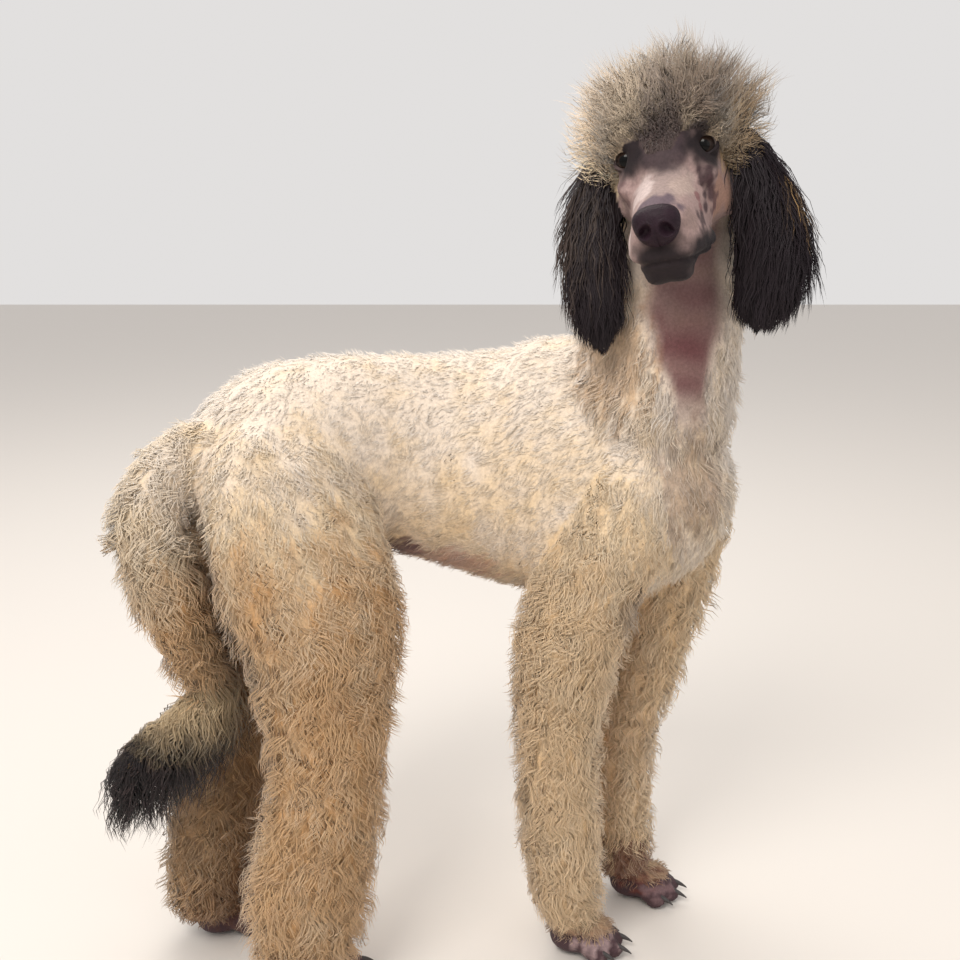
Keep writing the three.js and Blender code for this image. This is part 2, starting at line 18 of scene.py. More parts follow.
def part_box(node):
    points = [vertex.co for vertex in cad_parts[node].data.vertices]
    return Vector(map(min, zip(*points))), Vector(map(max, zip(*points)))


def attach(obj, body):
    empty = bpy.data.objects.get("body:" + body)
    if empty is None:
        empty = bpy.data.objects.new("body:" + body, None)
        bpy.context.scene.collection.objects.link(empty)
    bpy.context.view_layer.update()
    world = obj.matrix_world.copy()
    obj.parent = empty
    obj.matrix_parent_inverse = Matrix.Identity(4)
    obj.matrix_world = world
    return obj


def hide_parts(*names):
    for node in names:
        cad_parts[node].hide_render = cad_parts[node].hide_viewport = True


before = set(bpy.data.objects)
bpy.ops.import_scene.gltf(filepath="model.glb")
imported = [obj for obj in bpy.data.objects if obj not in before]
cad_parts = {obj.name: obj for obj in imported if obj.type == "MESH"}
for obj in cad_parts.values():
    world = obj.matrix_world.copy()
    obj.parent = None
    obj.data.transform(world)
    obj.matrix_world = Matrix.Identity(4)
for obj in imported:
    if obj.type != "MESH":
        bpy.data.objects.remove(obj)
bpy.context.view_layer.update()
LOG = logging.getLogger("poodle")

MM = 0.001
DOWN = np.array([0, 0, -1.0])
SEED = 20251
SEARCH_BLOCK = 4000
Array = np.ndarray

# Eyes' middle, and how far the head is turned, tipped down and tilted
EYES_MIDDLE = (158.0, -85.0, 837.0)
HEAD_TURN, HEAD_TIP, HEAD_TILT = -105.5, 10.0, 11.0

# An eye's place in the head's frame, forward and to the side, and the radius of its socket
EYE_X, EYE_Y, EYE_RADIUS = -4.0, 33.0, 11.5

# Height above the floor where the fleece ends over the paws
HEM = 36.0

# Camera: place in the dog's frame, pitch down, focal length in photograph widths
CAMERA_AT = (0.0, -1130.0, 830.0)
CAMERA_PITCH = 15.1
FOCAL_SHARE = 1180 / 960


class Region(Enum):
    """Parts of the skin that grow one kind of coat."""

    TRUNK = 0
    NECK = 1
    FORE_RIGHT = 2
    FORE_LEFT = 3
    HIND_RIGHT = 4
    HIND_LEFT = 5
    TAIL = 6
    TAIL_END = 7
    EAR_LEFT = 8
    EAR_RIGHT = 9
    FACE = 10
    CROWN = 11
    NAPE = 12
    PAW = 13


LEGS = (Region.FORE_RIGHT, Region.FORE_LEFT, Region.HIND_RIGHT, Region.HIND_LEFT)
FLEECED = (Region.TRUNK, Region.NECK, *LEGS, Region.TAIL)
HAIR_OF_HEAD = (Region.CROWN, Region.FACE, Region.NAPE)


def numbers(regions: tuple) -> list:
    """The numbers of some regions."""
    return [region.value for region in regions]


# Stations of each form: x, y, z, half side, half depth, heading
STATIONS = {
    Region.TRUNK: (
        (-284, -56, 531, 24, 26, 38),
        (-264, -42, 532, 66, 60, 38),
        (-217, -6, 536, 92, 104, 36),
        (-157, 38, 542, 88, 109, 27),
        (-95, 68, 537, 83, 112, 12),
        (-30, 84, 526, 92, 123, -2),
        (35, 82, 519, 102, 137, -14),
        (95, 62, 521, 106, 149, -27),
        (147, 32, 515, 102, 142, -36),
        (190, 2, 512, 88, 106, -40),
        (220, -22, 510, 58, 66, -40),
        (234, -34, 508, 22, 26, -40),
    ),
    Region.NECK: (
        (142, 40, 545, 56, 64, -38),
        (162, 29, 596, 88, 96, -44),
        (174, 19, 645, 84, 88, -54),
        (181, 11, 690, 78, 80, -68),
        (185, 6, 735, 68, 71, -82),
        (187, 2, 780, 62, 64, -94),
        (187, -2, 822, 54, 58, -104),
        (187, -4, 850, 34, 36, -106),
    ),
    Region.FORE_RIGHT: (
        (132, -12, 588, 22, 36, -38),
        (132, -20, 545, 48, 66, -38),
        (126, -23, 490, 55, 75, -36),
        (110, -20, 435, 55, 69, -34),
        (95, -17, 385, 54, 63, -30),
        (85, -15, 330, 51, 59, -25),
        (83, -14, 275, 48, 51, -20),
        (81, -14, 225, 46, 49, -17),
        (84, -14, 172, 47, 50, -14),
        (87, -14, 115, 46, 48, -12),
        (94, -15, 64, 41, 42, -12),
        (101, -16, 26, 34, 37, -12),
    ),
    Region.FORE_LEFT: (
        (204, 66, 588, 22, 34, -38),
        (210, 68, 545, 48, 62, -38),
        (212, 72, 492, 54, 70, -36),
        (203, 76, 435, 54, 67, -32),
        (196, 80, 385, 52, 60, -28),
        (186, 84, 330, 50, 55, -22),
        (174, 86, 275, 48, 51, -18),
        (163, 88, 225, 46, 48, -15),
        (157, 88, 172, 46, 48, -12),
        (157, 88, 118, 46, 47, -12),
        (164, 86, 66, 41, 43, -12),
        (171, 84, 26, 34, 37, -12),
    ),
    Region.HIND_RIGHT: (
        (-196, -50, 602, 20, 44, 36),
        (-190, -54, 562, 50, 80, 36),
        (-180, -58, 508, 64, 97, 36),
        (-165, -62, 450, 67, 98, 34),
        (-151, -68, 395, 64, 90, 32),
        (-150, -74, 335, 60, 79, 30),
        (-150, -80, 275, 57, 68, 28),
        (-153, -84, 220, 57, 66, 26),
        (-166, -86, 160, 58, 71, 24),
        (-174, -86, 105, 56, 69, 22),
        (-178, -84, 60, 51, 62, 20),
        (-176, -82, 24, 43, 53, 20),
    ),
    Region.HIND_LEFT: (
        (-248, 34, 600, 20, 44, 36),
        (-250, 44, 560, 48, 78, 36),
        (-250, 52, 508, 60, 90, 36),
        (-244, 50, 450, 61, 88, 36),
        (-236, 46, 395, 59, 81, 36),
        (-240, 40, 335, 56, 71, 34),
        (-252, 33, 275, 54, 62, 32),
        (-268, 26, 220, 54, 58, 30),
        (-284, 18, 160, 54, 60, 28),
        (-292, 14, 105, 52, 59, 26),
        (-297, 12, 60, 48, 55, 24),
        (-298, 12, 24, 41, 47, 24),
    ),
    Region.TAIL: (
        (-250, -32, 580, 18, 18, 38),
        (-274, -50, 570, 29, 28, 38),
        (-298, -69, 538, 39, 38, 38),
        (-308, -76, 496, 45, 42, 38),
        (-300, -72, 442, 39, 37, 38),
        (-285, -59, 386, 33, 32, 38),
        (-272, -50, 340, 28, 28, 38),
    ),
    Region.TAIL_END: (
        (-262, -42, 352, 16, 16, 38),
        (-276, -52, 318, 17, 17, 38),
        (-302, -73, 296, 17, 17, 38),
        (-328, -93, 280, 15, 15, 38),
        (-348, -108, 262, 11, 11, 38),
    ),
    Region.EAR_LEFT: (
        (218, -56, 860, 16, 22, -107),
        (234, -60, 838, 26, 34, -107),
        (249, -66, 800, 41, 42, -107),
        (259, -70, 755, 48, 44, -107),
        (252, -72, 712, 32, 32, -107),
        (246, -73, 684, 8, 10, -107),
    ),
    Region.EAR_RIGHT: (
        (124, -26, 842, 14, 20, -107),
        (112, -33, 822, 24, 34, -107),
        (104, -42, 785, 34, 42, -107),
        (103, -52, 740, 34, 42, -107),
        (108, -60, 695, 25, 32, -107),
        (114, -64, 662, 8, 10, -107),
    ),
}

# The head in its own frame: +X to the nose, +Y left, from the eyes' middle
SKULL = (
    (-118, 0, 0, 12, 12, 0),
    (-104, 0, -4, 33, 34, 0),
    (-75, 0, -12, 48, 52, 0),
    (-40, 0, -22, 50, 60, 0),
    (-8, 0, -30, 44, 56, 0),
    (18, 0, -45, 36, 43, 0),
    (45, 0, -48, 31, 37, 0),
    (72, 0, -54, 28, 36, 0),
    (94, 0, -57, 25, 33, 0),
    (106, 0, -57, 15, 20, 0),
)
NOSE_AT = (104.0, 0.0, -39.0)
NOSE_HALF = (13.0, 19.5, 16.5)

# Middle on the floor and heading of each paw
PAWS = {
    "fore_right": ((114, -20), -10),
    "fore_left": ((190, 80), -10),
    "hind_right": ((-158, -76), 18),
    "hind_left": ((-278, 20), 22),
}
# Place of each toe in its paw's frame, and how far it turns out
TOES = ((15, -21, -9), (27, -7.5, -3), (27, 7.5, 3), (15, 21, 9))

# Rounded forms of the face, once a side: half sizes, and middle in the head's frame
FACE_FORMS = {
    "cheek": ((34, 14, 30), (-38, 36, -40)),
    "upper lip": ((34, 10.5, 15), (60, 22.5, -60)),
    "corner of the lips": ((22, 8, 10), (46, 28, -70)),
    "lids": ((14, 15, 13.5), (-6, 32, 0)),
    "brow": ((22, 14, 9), (-9, 28, 16)),
    "cheekbone": ((28, 10, 10), (4, 35, -21)),
    "chin": ((21, 13, 12), (82, 11, -80)),
}

# Rounded forms of a paw: half sizes, and middle in the paw's frame
PAW_FORMS = (((25, 22, 18), (-14, 0, 18.5)), ((29, 24, 19), (3, 0, 24)))
PAD_FORM = ((19, 15, 7), (-4, 0, 7.2))
HIND_SLIM = 0.94
# Rounded forms of a toe: half sizes, forward of the toe's place, height and tip
TOE_FORMS = (((15, 8.2, 10.5), -4, 17, 22), ((12, 8.4, 9.6), 4, 11, 0), ((9, 7, 5), 3, 5.1, 0))


def turned(heading: float, tip: float = 0.0, tilt: float = 0.0) -> Matrix:
    """A turn about Z, then Y, then X, in degrees.

    Args:
        heading: turn about Z.
        tip: turn about Y.
        tilt: turn about X.

    Returns:
        The turn as a 4 by 4 matrix.
    """
    turns = (Matrix.Rotation(math.radians(heading), 4, "Z"),
             Matrix.Rotation(math.radians(tip), 4, "Y"),
             Matrix.Rotation(math.radians(tilt), 4, "X"))
    return turns[0] @ turns[1] @ turns[2]


HEAD = Matrix.Translation(EYES_MIDDLE) @ turned(HEAD_TURN, HEAD_TIP, HEAD_TILT)


def mapped(matrix: Matrix, points: Array) -> Array:
    """Points carried by a matrix.

    Args:
        matrix: a 4 by 4 matrix.
        points: one point a row.

    Returns:
        The carried points, one a row.
    """
    m = np.array(matrix)
    return points @ m[:3, :3].T + m[:3, 3]


def unit(vectors: Array) -> Array:
    """Vectors of length one along the given ones, one a row."""
    return vectors / np.maximum(np.linalg.norm(vectors, axis=-1, keepdims=True), 1e-9)


def smooth(low: float, high: float, value: Array) -> Array:
    """A soft step from 0 at low to 1 at high.

    Args:
        low: where the step begins.
        high: where it ends.
        value: the numbers to step.

    Returns:
        The stepped numbers.
    """
    x = np.clip((value - low) / (high - low), 0, 1)
    return x * x * (3 - 2 * x)


def ripple(points: Array, scale: float, seed: int) -> Array:
    """Smooth repeatable variation from -1 to 1 through space.

    Args:
        points: one point a row.
        scale: about the width of one swell.
        seed: which variation.

    Returns:
        One number for each point.
    """
    rng = np.random.default_rng(seed)
    total = np.zeros(len(points))
    for _ in range(7):
        way = unit(rng.normal(size=(1, 3)))[0] * 2 * math.pi / scale * rng.uniform(0.6, 1.7)
        total += np.sin(points @ way + rng.uniform(0, 2 * math.pi))
    return np.clip(total / 3.2, -1, 1)


def catmull(rows: Array, shares: Array) -> Array:
    """Places on a smooth curve through rows.

    Args:
        rows: the curve's points, one a row.
        shares: how far along, from 0 to 1.

    Returns:
        One place for each share.
    """
    ends = np.vstack([2 * rows[0] - rows[1], rows, 2 * rows[-1] - rows[-2]])
    x = shares * (len(rows) - 1)
    i = np.clip(np.floor(x).astype(int), 0, len(rows) - 2)
    w = (x - i)[:, None]
    a, b, c, d = ends[i], ends[i + 1], ends[i + 2], ends[i + 3]
    return 0.5 * (2 * b + (c - a) * w + (2 * a - 5 * b + 4 * c - d) * w**2
                  + (3 * b - a - 3 * c + d) * w**3)


def closest(points: Array, spots: Array) -> Array:
    """Which spot is nearest to each point.

    Args:
        points: one point a row.
        spots: one spot a row.

    Returns:
        The number of a spot for each point.
    """
    best = np.empty(len(points), int)
    for start in range(0, len(points), SEARCH_BLOCK):
        block = points[start:start + SEARCH_BLOCK]
        gap = (spots**2).sum(1)[None] - 2 * block @ spots.T
        best[start:start + SEARCH_BLOCK] = gap.argmin(1)
    return best


def pour(part: bmesh.types.BMesh, whole: bmesh.types.BMesh) -> None:
    """Moves a small mesh into a bigger one.

    Args:
        part: the small mesh, which is freed.
        whole: the mesh that takes it in.
    """
    mesh = bpy.data.meshes.new("part")
    part.to_mesh(mesh)
    part.free()
    whole.from_mesh(mesh)
    bpy.data.meshes.remove(mesh)


@dataclass
class Form:
    """A bent body form through its stations.

    Args:
        rows: stations, each x, y, z, half side, half depth, heading.
        inset: how far the skin lies under the form's outside.
        share: share of the half sizes that the skin keeps before the inset.
        placed: the frame that the stations are in.
    """

    rows: tuple
    inset: float = 0.0
    share: tuple = (1.0, 1.0)
    placed: Matrix = field(default_factory=lambda: Matrix.Identity(4))

    def __post_init__(self) -> None:
        """Samples the form finely, for finding places on it."""
        self.shares = np.linspace(0, 1, 161)
        self.samples = self.at(self.shares)

    def at(self, shares: Array) -> tuple:
        """Middle, axes and half sizes of the skin at shares of the way along.

        Args:
            shares: how far along, from 0 to 1.

        Returns:
            Arrays of middles, tangents, sides, depths and half sizes.
        """
        table = np.array(self.rows, float)
        row = catmull(table, shares)
        step = 1e-3
        ahead = catmull(table, np.clip(shares + step, 0, 1))[:, :3]
        behind = catmull(table, np.clip(shares - step, 0, 1))[:, :3]
        tangent = unit(ahead - behind)
        heading = np.radians(row[:, 5])
        across = np.stack([-np.sin(heading), np.cos(heading), 0 * heading], 1)
        depth = unit(np.cross(tangent, across))
        side = unit(np.cross(depth, tangent))
        girth = np.maximum(row[:, 3:5] * np.array(self.share) - self.inset, 3.0)
        turn = np.array(self.placed)[:3, :3].T
        middle = mapped(self.placed, row[:, :3])
        return middle, tangent @ turn, side @ turn, depth @ turn, girth

    def add_to(self, bm: bmesh.types.BMesh, around: int = 40, along: int = 72) -> None:
        """Adds the form as a closed mesh.

        Args:
            bm: the mesh to add to.
            around: corners round the form.
            along: rings along it.
        """
        part = bmesh.new()
        bmesh.ops.create_uvsphere(part, u_segments=around, v_segments=along, radius=1)
        ball = np.array([v.co for v in part.verts])
        shares = np.arccos(np.clip(ball[:, 2], -1, 1)) / math.pi
        angles = np.arctan2(ball[:, 1], ball[:, 0])
        pole = (np.abs(ball[:, 2]) > 0.99999)[:, None]
        middle, _, side, depth, girth = self.at(shares)
        swing = side * (np.cos(angles) * girth[:, 0])[:, None]
        swing += depth * (np.sin(angles) * girth[:, 1])[:, None]
        for vert, place in zip(part.verts, middle + np.where(pole, 0, swing)):
            vert.co = place
        bmesh.ops.recalc_face_normals(part, faces=part.faces)
        pour(part, bm)

    def locate(self, points: Array) -> tuple:
        """Where points are on the form.

        Args:
            points: one point a row.

        Returns:
            Shares along, angles round, and 1 on the skin, less inside, more outside.
        """
        middle, tangent, side, depth, girth = self.samples
        best = closest(points, middle)
        away = points - middle[best]
        a = (away * side[best]).sum(1) / girth[best, 0]
        b = (away * depth[best]).sum(1) / girth[best, 1]
        c = (away * tangent[best]).sum(1) / girth[best].mean(1)
        c = np.where((best == 0) | (best == len(middle) - 1), c, 0)
        return self.shares[best], np.arctan2(b, a), np.sqrt(a * a + b * b + c * c)


FORMS = {
    Region.TRUNK: Form(STATIONS[Region.TRUNK], inset=10),
    Region.NECK: Form(STATIONS[Region.NECK], inset=8),
    Region.FORE_RIGHT: Form(STATIONS[Region.FORE_RIGHT], inset=14),
    Region.FORE_LEFT: Form(STATIONS[Region.FORE_LEFT], inset=14),
    Region.HIND_RIGHT: Form(STATIONS[Region.HIND_RIGHT], inset=15),
    Region.HIND_LEFT: Form(STATIONS[Region.HIND_LEFT], inset=15),
    Region.TAIL: Form(STATIONS[Region.TAIL], share=(0.72, 0.72)),
    Region.TAIL_END: Form(STATIONS[Region.TAIL_END], share=(0.72, 0.72)),
    Region.EAR_LEFT: Form(STATIONS[Region.EAR_LEFT], share=(0.62, 0.3)),
    Region.EAR_RIGHT: Form(STATIONS[Region.EAR_RIGHT], share=(0.62, 0.3)),
    Region.FACE: Form(SKULL, inset=0.6, placed=HEAD),
}


def add_ball(bm: bmesh.types.BMesh, half: tuple, placed: Matrix, around: int = 24) -> None:
    """Adds an ellipsoid to a mesh.

    Args:
        bm: the mesh to add to.
        half: half sizes along its own axes.
        placed: where its middle is and how it is turned.
        around: corners round it.
    """
    part = bmesh.new()
    bmesh.ops.create_uvsphere(part, u_segments=around, v_segments=around * 2 // 3, radius=1,
                              matrix=placed @ Matrix.Diagonal((*half, 1)))
    pour(part, bm)


def paw_frame(name: str) -> Matrix:
    """The frame of a paw: its middle on the floor, +X to where it points."""
    (x, y), heading = PAWS[name]
    return Matrix.Translation((x, y, 0)) @ turned(heading)


@dataclass
class Skin:
    """The whole body as one closed skin.

    Args:
        voxel: width of the net that fuses the forms.
        body_rounds: how often the body is evened out.
        join_rounds: how often the joins between forms are, besides.
        head_rounds: how often the head is.
        paw_rounds: how often the paws are.
        join_reach: how far from a form its joins go, 1 being on its skin.
    """

    voxel: float = 4.4
    body_rounds: int = 5
    join_rounds: int = 36
    head_rounds: int = 3
    paw_rounds: int = 1
    join_reach: float = 1.45

    def forms(self) -> bpy.types.Object:
        """All forms in one object, still separate shells."""
        bm = bmesh.new()
        for form in FORMS.values():
            form.add_to(bm)
        self.add_face(bm)
        for name in PAWS:
            self.add_paw(bm, paw_frame(name), name.startswith("hind"))
        mesh = bpy.data.meshes.new("shells")
        bm.to_mesh(mesh)
        bm.free()
        return linked("shells", mesh)

    def add_face(self, bm: bmesh.types.BMesh) -> None:
        """Adds the rounded forms of the face to the head.

        Args:
            bm: the mesh to add to.
        """
        for sign in (-1, 1):
            for half, (x, y, z) in FACE_FORMS.values():
                add_ball(bm, half, HEAD @ Matrix.Translation((x, sign * y, z)))

    def add_paw(self, bm: bmesh.types.BMesh, placed: Matrix, hind: bool) -> None:
        """Adds a paw with four toes, their knuckles and their pads.

        Args:
            bm: the mesh to add to.
            placed: the paw's frame.
            hind: whether it is a hind paw, which is a little slimmer.
        """
        slim = HIND_SLIM if hind else 1.0
        for (long, wide, high), at in PAW_FORMS:
            add_ball(bm, (long, wide * slim, high), placed @ Matrix.Translation(at))
        add_ball(bm, PAD_FORM[0], placed @ Matrix.Translation(PAD_FORM[1]))
        for x, y, splay in TOES:
            toe = placed @ turned(splay)
            for half, forward, height, tip in TOE_FORMS:
                at = Matrix.Translation((x + forward, y, height))
                add_ball(bm, half, toe @ at @ turned(0, tip))

    def build(self) -> bpy.types.Object:
        """The fused, evened and carved skin, still in millimetres."""
        shells = self.forms()
        net = shells.modifiers.new("net", "REMESH")
        net.mode = "VOXEL"
        net.voxel_size = self.voxel
        graph = bpy.context.evaluated_depsgraph_get()
        mesh = bpy.data.meshes.new_from_object(shells.evaluated_get(graph))
        bpy.data.objects.remove(shells)
        bm = bmesh.new()
        bm.from_mesh(mesh)
        self.keep_largest(bm)
        paws = [v for v in bm.verts if v.co.z < HEM]
        body = [v for v in bm.verts if v.co.z >= HEM and not self.in_head(v.co)]
        head = [v for v in bm.verts if self.in_head(v.co)]
        self.even(bm, body, self.body_rounds)
        self.even(bm, self.joins(body), self.join_rounds)
        self.even(bm, head, self.head_rounds)
        self.even(bm, paws, self.paw_rounds)
        self.refine(bm)
        bm.to_mesh(mesh)
        bm.free()
        FaceCarving().carve(mesh)
        mesh.name = "skin"
        return linked("skin", mesh)

    @staticmethod
    def even(bm: bmesh.types.BMesh, verts: list, rounds: int) -> None:
        """Evens out some corners of a mesh.

        Args:
            bm: the mesh.
            verts: its corners to even out.
            rounds: how often.
        """
        for _ in range(rounds):
            bmesh.ops.smooth_vert(bm, verts=verts, factor=0.5, use_axis_x=True, use_axis_y=True,
                                  use_axis_z=True)

    def joins(self, body: list) -> list:
        """The corners near where legs, neck and tail grow out of the trunk.

        Args:
            body: the corners to choose from.

        Returns:
            The chosen corners.
        """
        places = np.array([v.co for v in body])
        trunk = FORMS[Region.TRUNK].locate(places)[2] < self.join_reach
        near = np.zeros(len(places), bool)
        for region in (*LEGS, Region.NECK, Region.TAIL):
            near |= FORMS[region].locate(places)[2] < self.join_reach
        return [v for v, wanted in zip(body, trunk & near) if wanted]

    @staticmethod
    def in_head(place: Vector) -> bool:
        """Whether a place is on the head or muzzle."""
        local = HEAD.inverted() @ place
        return -125 < local.x < 125 and abs(local.y) < 56 and -100 < local.z < 60

    @staticmethod
    def keep_largest(bm: bmesh.types.BMesh) -> None:
        """Drops every loose scrap but the body itself.

        Args:
            bm: the mesh to clean.
        """
        bm.verts.ensure_lookup_table()
        seen = set()
        shells = []
        for start in bm.verts:
            if start.index in seen:
                continue
            shell, queue = [], [start]
            seen.add(start.index)
            while queue:
                vert = queue.pop()
                shell.append(vert)
                for edge in vert.link_edges:
                    other = edge.other_vert(vert)
                    if other.index not in seen:
                        seen.add(other.index)
                        queue.append(other)
            shells.append(shell)
        shells.sort(key=len)
        for shell in shells[:-1]:
            bmesh.ops.delete(bm, geom=shell, context="VERTS")

    @staticmethod
    def refine(bm: bmesh.types.BMesh) -> None:
        """Gives the face a finer mesh, and the lids a finer one still.

        Args:
            bm: the mesh to refine.
        """
        inverse = HEAD.inverted()

        def face(local: Vector) -> bool:
            """Whether a place is on the face."""
            return local.x > -26 and abs(local.y) < 52 and -96 < local.z < 26

        def lids(local: Vector) -> bool:
            """Whether a place is near an eye."""
            return any((local - Vector((EYE_X + 3, s * EYE_Y, 0))).length < 19 for s in (-1, 1))

        for wanted in (face, lids):
            edges = {e for v in bm.verts if wanted(inverse @ v.co) for e in v.link_edges}
            bmesh.ops.subdivide_edges(bm, edges=list(edges), cuts=1, use_grid_fill=True, smooth=0.0)
        bmesh.ops.triangulate(bm, faces=[f for f in bm.faces if len(f.verts) > 4])


@dataclass
class FaceCarving:
    """Lids, line of the mouth and folds, pressed into the head's skin.

    Args:
        lid: thickness of a lid over the eyeball.
        gaze: how far each eye looks outwards, in degrees.
        opening: half width and half height of the opening between the lids.
        lower_lid: share of that height under the middle.
        slant: how far the outer corner of the eye lies higher, a share of its distance.
        edge: where the opening ends and the lid is full, 1 being the opening's outline.
        fitted: distances from the eye's middle up to which skin lies on the ball, in full and at all.
        fold: depth of the fold over the lids.
        line: places forward of the line of the mouth, and its heights there.
        groove: depth of the line of the mouth.
        lip: how far the edge of the lip stands out.
        under: how far the lower jaw lies back.
        cleft: depth of the groove under the nose.
        stop: depth of the dip between the eyes.
    """

    lid: float = 1.5
    gaze: float = 6.0
    opening: tuple = (10.6, 7.4)
    lower_lid: float = 0.82
    slant: float = 0.10
    edge: tuple = (0.86, 1.06)
    fitted: tuple = (13.5, 19.0)
    fold: float = 0.9
    line: tuple = ((20, 36, 55, 80, 100, 112), (-68, -73, -74, -73, -70, -68))
    groove: float = 3.4
    lip: float = 1.6
    under: float = 2.6
    cleft: float = 1.8
    stop: float = 2.5

    def carve(self, mesh: bpy.types.Mesh) -> None:
        """Moves the corners of the head's skin.

        Args:
            mesh: the skin, in millimetres in the dog's frame.
        """
        places = corners(mesh)
        local = mapped(HEAD.inverted(), places)
        near = (local[:, 0] > -60) & (np.abs(local[:, 1]) < 60) & (np.abs(local[:, 2] + 30) < 80)
        part = local[near]
        part = self.mouth(part)
        for sign in (-1, 1):
            part = self.eye(part, sign)
        local[near] = part
        places[near] = mapped(HEAD, part)
        mesh.vertices.foreach_set("co", places.ravel())
        mesh.update()

    def look(self, sign: int) -> Array:
        """The way that an eye looks, in the head's frame."""
        a = math.radians(self.gaze)
        return unit(np.array([math.cos(a), sign * math.sin(a), 0.10]))

    def eye(self, points: Array, sign: int) -> Array:
        """Fits lids over one eyeball and opens them.

        Args:
            points: corners of the skin, in the head's frame.
            sign: 1 for the left eye, -1 for the right.

        Returns:
            The moved corners.
        """
        centre = np.array([EYE_X, sign * EYE_Y, 0.0])
        look = self.look(sign)
        across = unit(np.cross([0, 0, 1.0], look))
        up = np.cross(look, across)
        away = points - centre
        reach = np.linalg.norm(away, axis=1)
        ways = away / np.maximum(reach, 1e-6)[:, None]
        a = (ways * across).sum(1) * EYE_RADIUS
        b = (ways * up).sum(1) * EYE_RADIUS
        facing = (ways * look).sum(1)
        slant = b - self.slant * sign * a
        arch = np.where(slant > 0, self.opening[1], self.lower_lid * self.opening[1])
        inside = np.sqrt((a / self.opening[0]) ** 2 + (slant / arch) ** 2)
        shut = smooth(*self.edge, inside)
        rim = EYE_RADIUS + self.lid * (1 + 0.5 * np.exp(-((inside - 1.15) / 0.16) ** 2))
        goal = np.where(facing > 0, rim * shut + (EYE_RADIUS - 3.5) * (1 - shut), reach)
        weight = (1 - smooth(*self.fitted, reach)) * smooth(0.05, 0.45, facing)
        fitted = reach + (goal - reach) * weight
        fold = self.fold * np.exp(-((inside - 1.75) / 0.16) ** 2) * weight
        return centre + ways * (fitted - fold)[:, None]

    def mouth(self, points: Array) -> Array:
        """Presses in the line of the mouth, the groove under the nose and the lip's edge.

        Args:
            points: corners of the skin, in the head's frame.

        Returns:
            The moved corners.
        """
        x, y, z = points.T
        off = z - np.interp(x, *self.line)
        along = smooth(26, 36, x)
        groove = self.groove * np.exp(-(off / 2.0) ** 2) * along
        lip = self.lip * np.exp(-((off - 5) / 4.0) ** 2) * along
        under = self.under * smooth(0, -9, off) * (1 - smooth(-9, -26, off)) * along
        push = lip - groove - under
        out = unit(np.stack([0.35 * smooth(80, 104, x), y / 26, 0 * z], 1) + 1e-6)
        moved = points + out * push[:, None]
        below_nose = smooth(96, 104, x) * smooth(-69, -65, z)
        moved[:, 0] -= self.cleft * np.exp(-(y / 1.6) ** 2) * below_nose
        between_eyes = np.exp(-((x - 14) / 14) ** 2) * smooth(-20, 0, z)
        moved[:, 2] -= self.stop * np.exp(-(y / 9) ** 2) * between_eyes
        return moved


def corners(mesh: bpy.types.Mesh) -> Array:
    """All corners of a mesh, one a row."""
    places = np.empty(len(mesh.vertices) * 3)
    mesh.vertices.foreach_get("co", places)
    return places.reshape(-1, 3)


def linked(name: str, mesh: bpy.types.Mesh) -> bpy.types.Object:
    """A new object in the scene that shows a mesh."""
    made = bpy.data.objects.new(name, mesh)
    bpy.context.scene.collection.objects.link(made)
    return made


def to_solids_frame() -> Matrix:
    """From millimetres in the dog's frame to metres in the frame of the solids."""
    low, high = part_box("eye_left")
    eye = HEAD @ Vector((EYE_X, EYE_Y, 0))
    return Matrix.Translation((low + high) / 2 - eye * MM) @ Matrix.Scale(MM, 4)


def linear(red: int, green: int, blue: int) -> Array:
    """A colour given from 0 to 255 as seen, in linear light."""
    share = np.array([red, green, blue]) / 255
    return np.where(share < 0.04045, share / 12.92, ((share + 0.055) / 1.055) ** 2.4)


@dataclass(frozen=True)
class Marking:
    """A soft patch of colour on skin and coat alike.

    Args:
        at: middle, in the head's frame or the dog's.
        half: half sizes along that frame's axes.
        color: the patch's colour, from 0 to 255 as seen.
        strength: share of the patch's colour at its middle.
        on_head: whether the frame is the head's.
        rough: how ragged the edge is.
        only: the regions it keeps to, or none for all.
    """

    at: tuple
    half: tuple
    color: tuple
    strength: float
    on_head: bool = True
    rough: float = 0.25
    only: tuple = ()

    def apply(self, colors: Array, places: Array, local: Array, region: Array) -> Array:
        """Blends the patch over colours.

        Args:
            colors: linear colours, one a row.
            places: where they are in the dog's frame.
            local: where they are in the head's frame.
            region: the number of the region of each.

        Returns:
            The blended colours.
        """
        points = local if self.on_head else places
        reach = np.linalg.norm((points - np.array(self.at)) / np.array(self.half), axis=1)
        reach += self.rough * ripple(places, 14, int(abs(sum(self.at))) + 3)
        weight = self.strength * (1 - smooth(0.55, 1.15, reach))
        if self.only:
            weight = weight * np.isin(region, numbers(self.only))
        return colors + (linear(*self.color) - colors) * weight[:, None]


# Colours as seen, from 0 to 255: the fleece from top to bottom, and bare or stained places
PALE = (240, 224, 207)
CREAM = (240, 214, 178)
TAN = (246, 210, 164)
BROWN = (220, 174, 124)
FRINGE = (27, 20, 21)
THROAT = (112, 84, 84)
HEM_COLOR = (134, 100, 84)

# Heights between which the fleece turns from pale to tan, and on the tail
TAN_FROM, TAN_TO = 660, 360
TAIL_TAN_FROM, TAIL_TAN_TO = 540, 350
# Share that the trunk turns tan of what the legs do, and the tail's head start
TRUNK_SHARE, TAIL_START = 0.5, 0.3
# Clouds in the fleece's colour: strength, width and which variation
CLOUDS = ((0.15, 70, 11), (0.12, 24, 5))
# How strongly the hem takes its own colour, and from where to where
HEM_STRENGTH, HEM_ABOVE, HEM_BELOW = 0.75, 20, -2

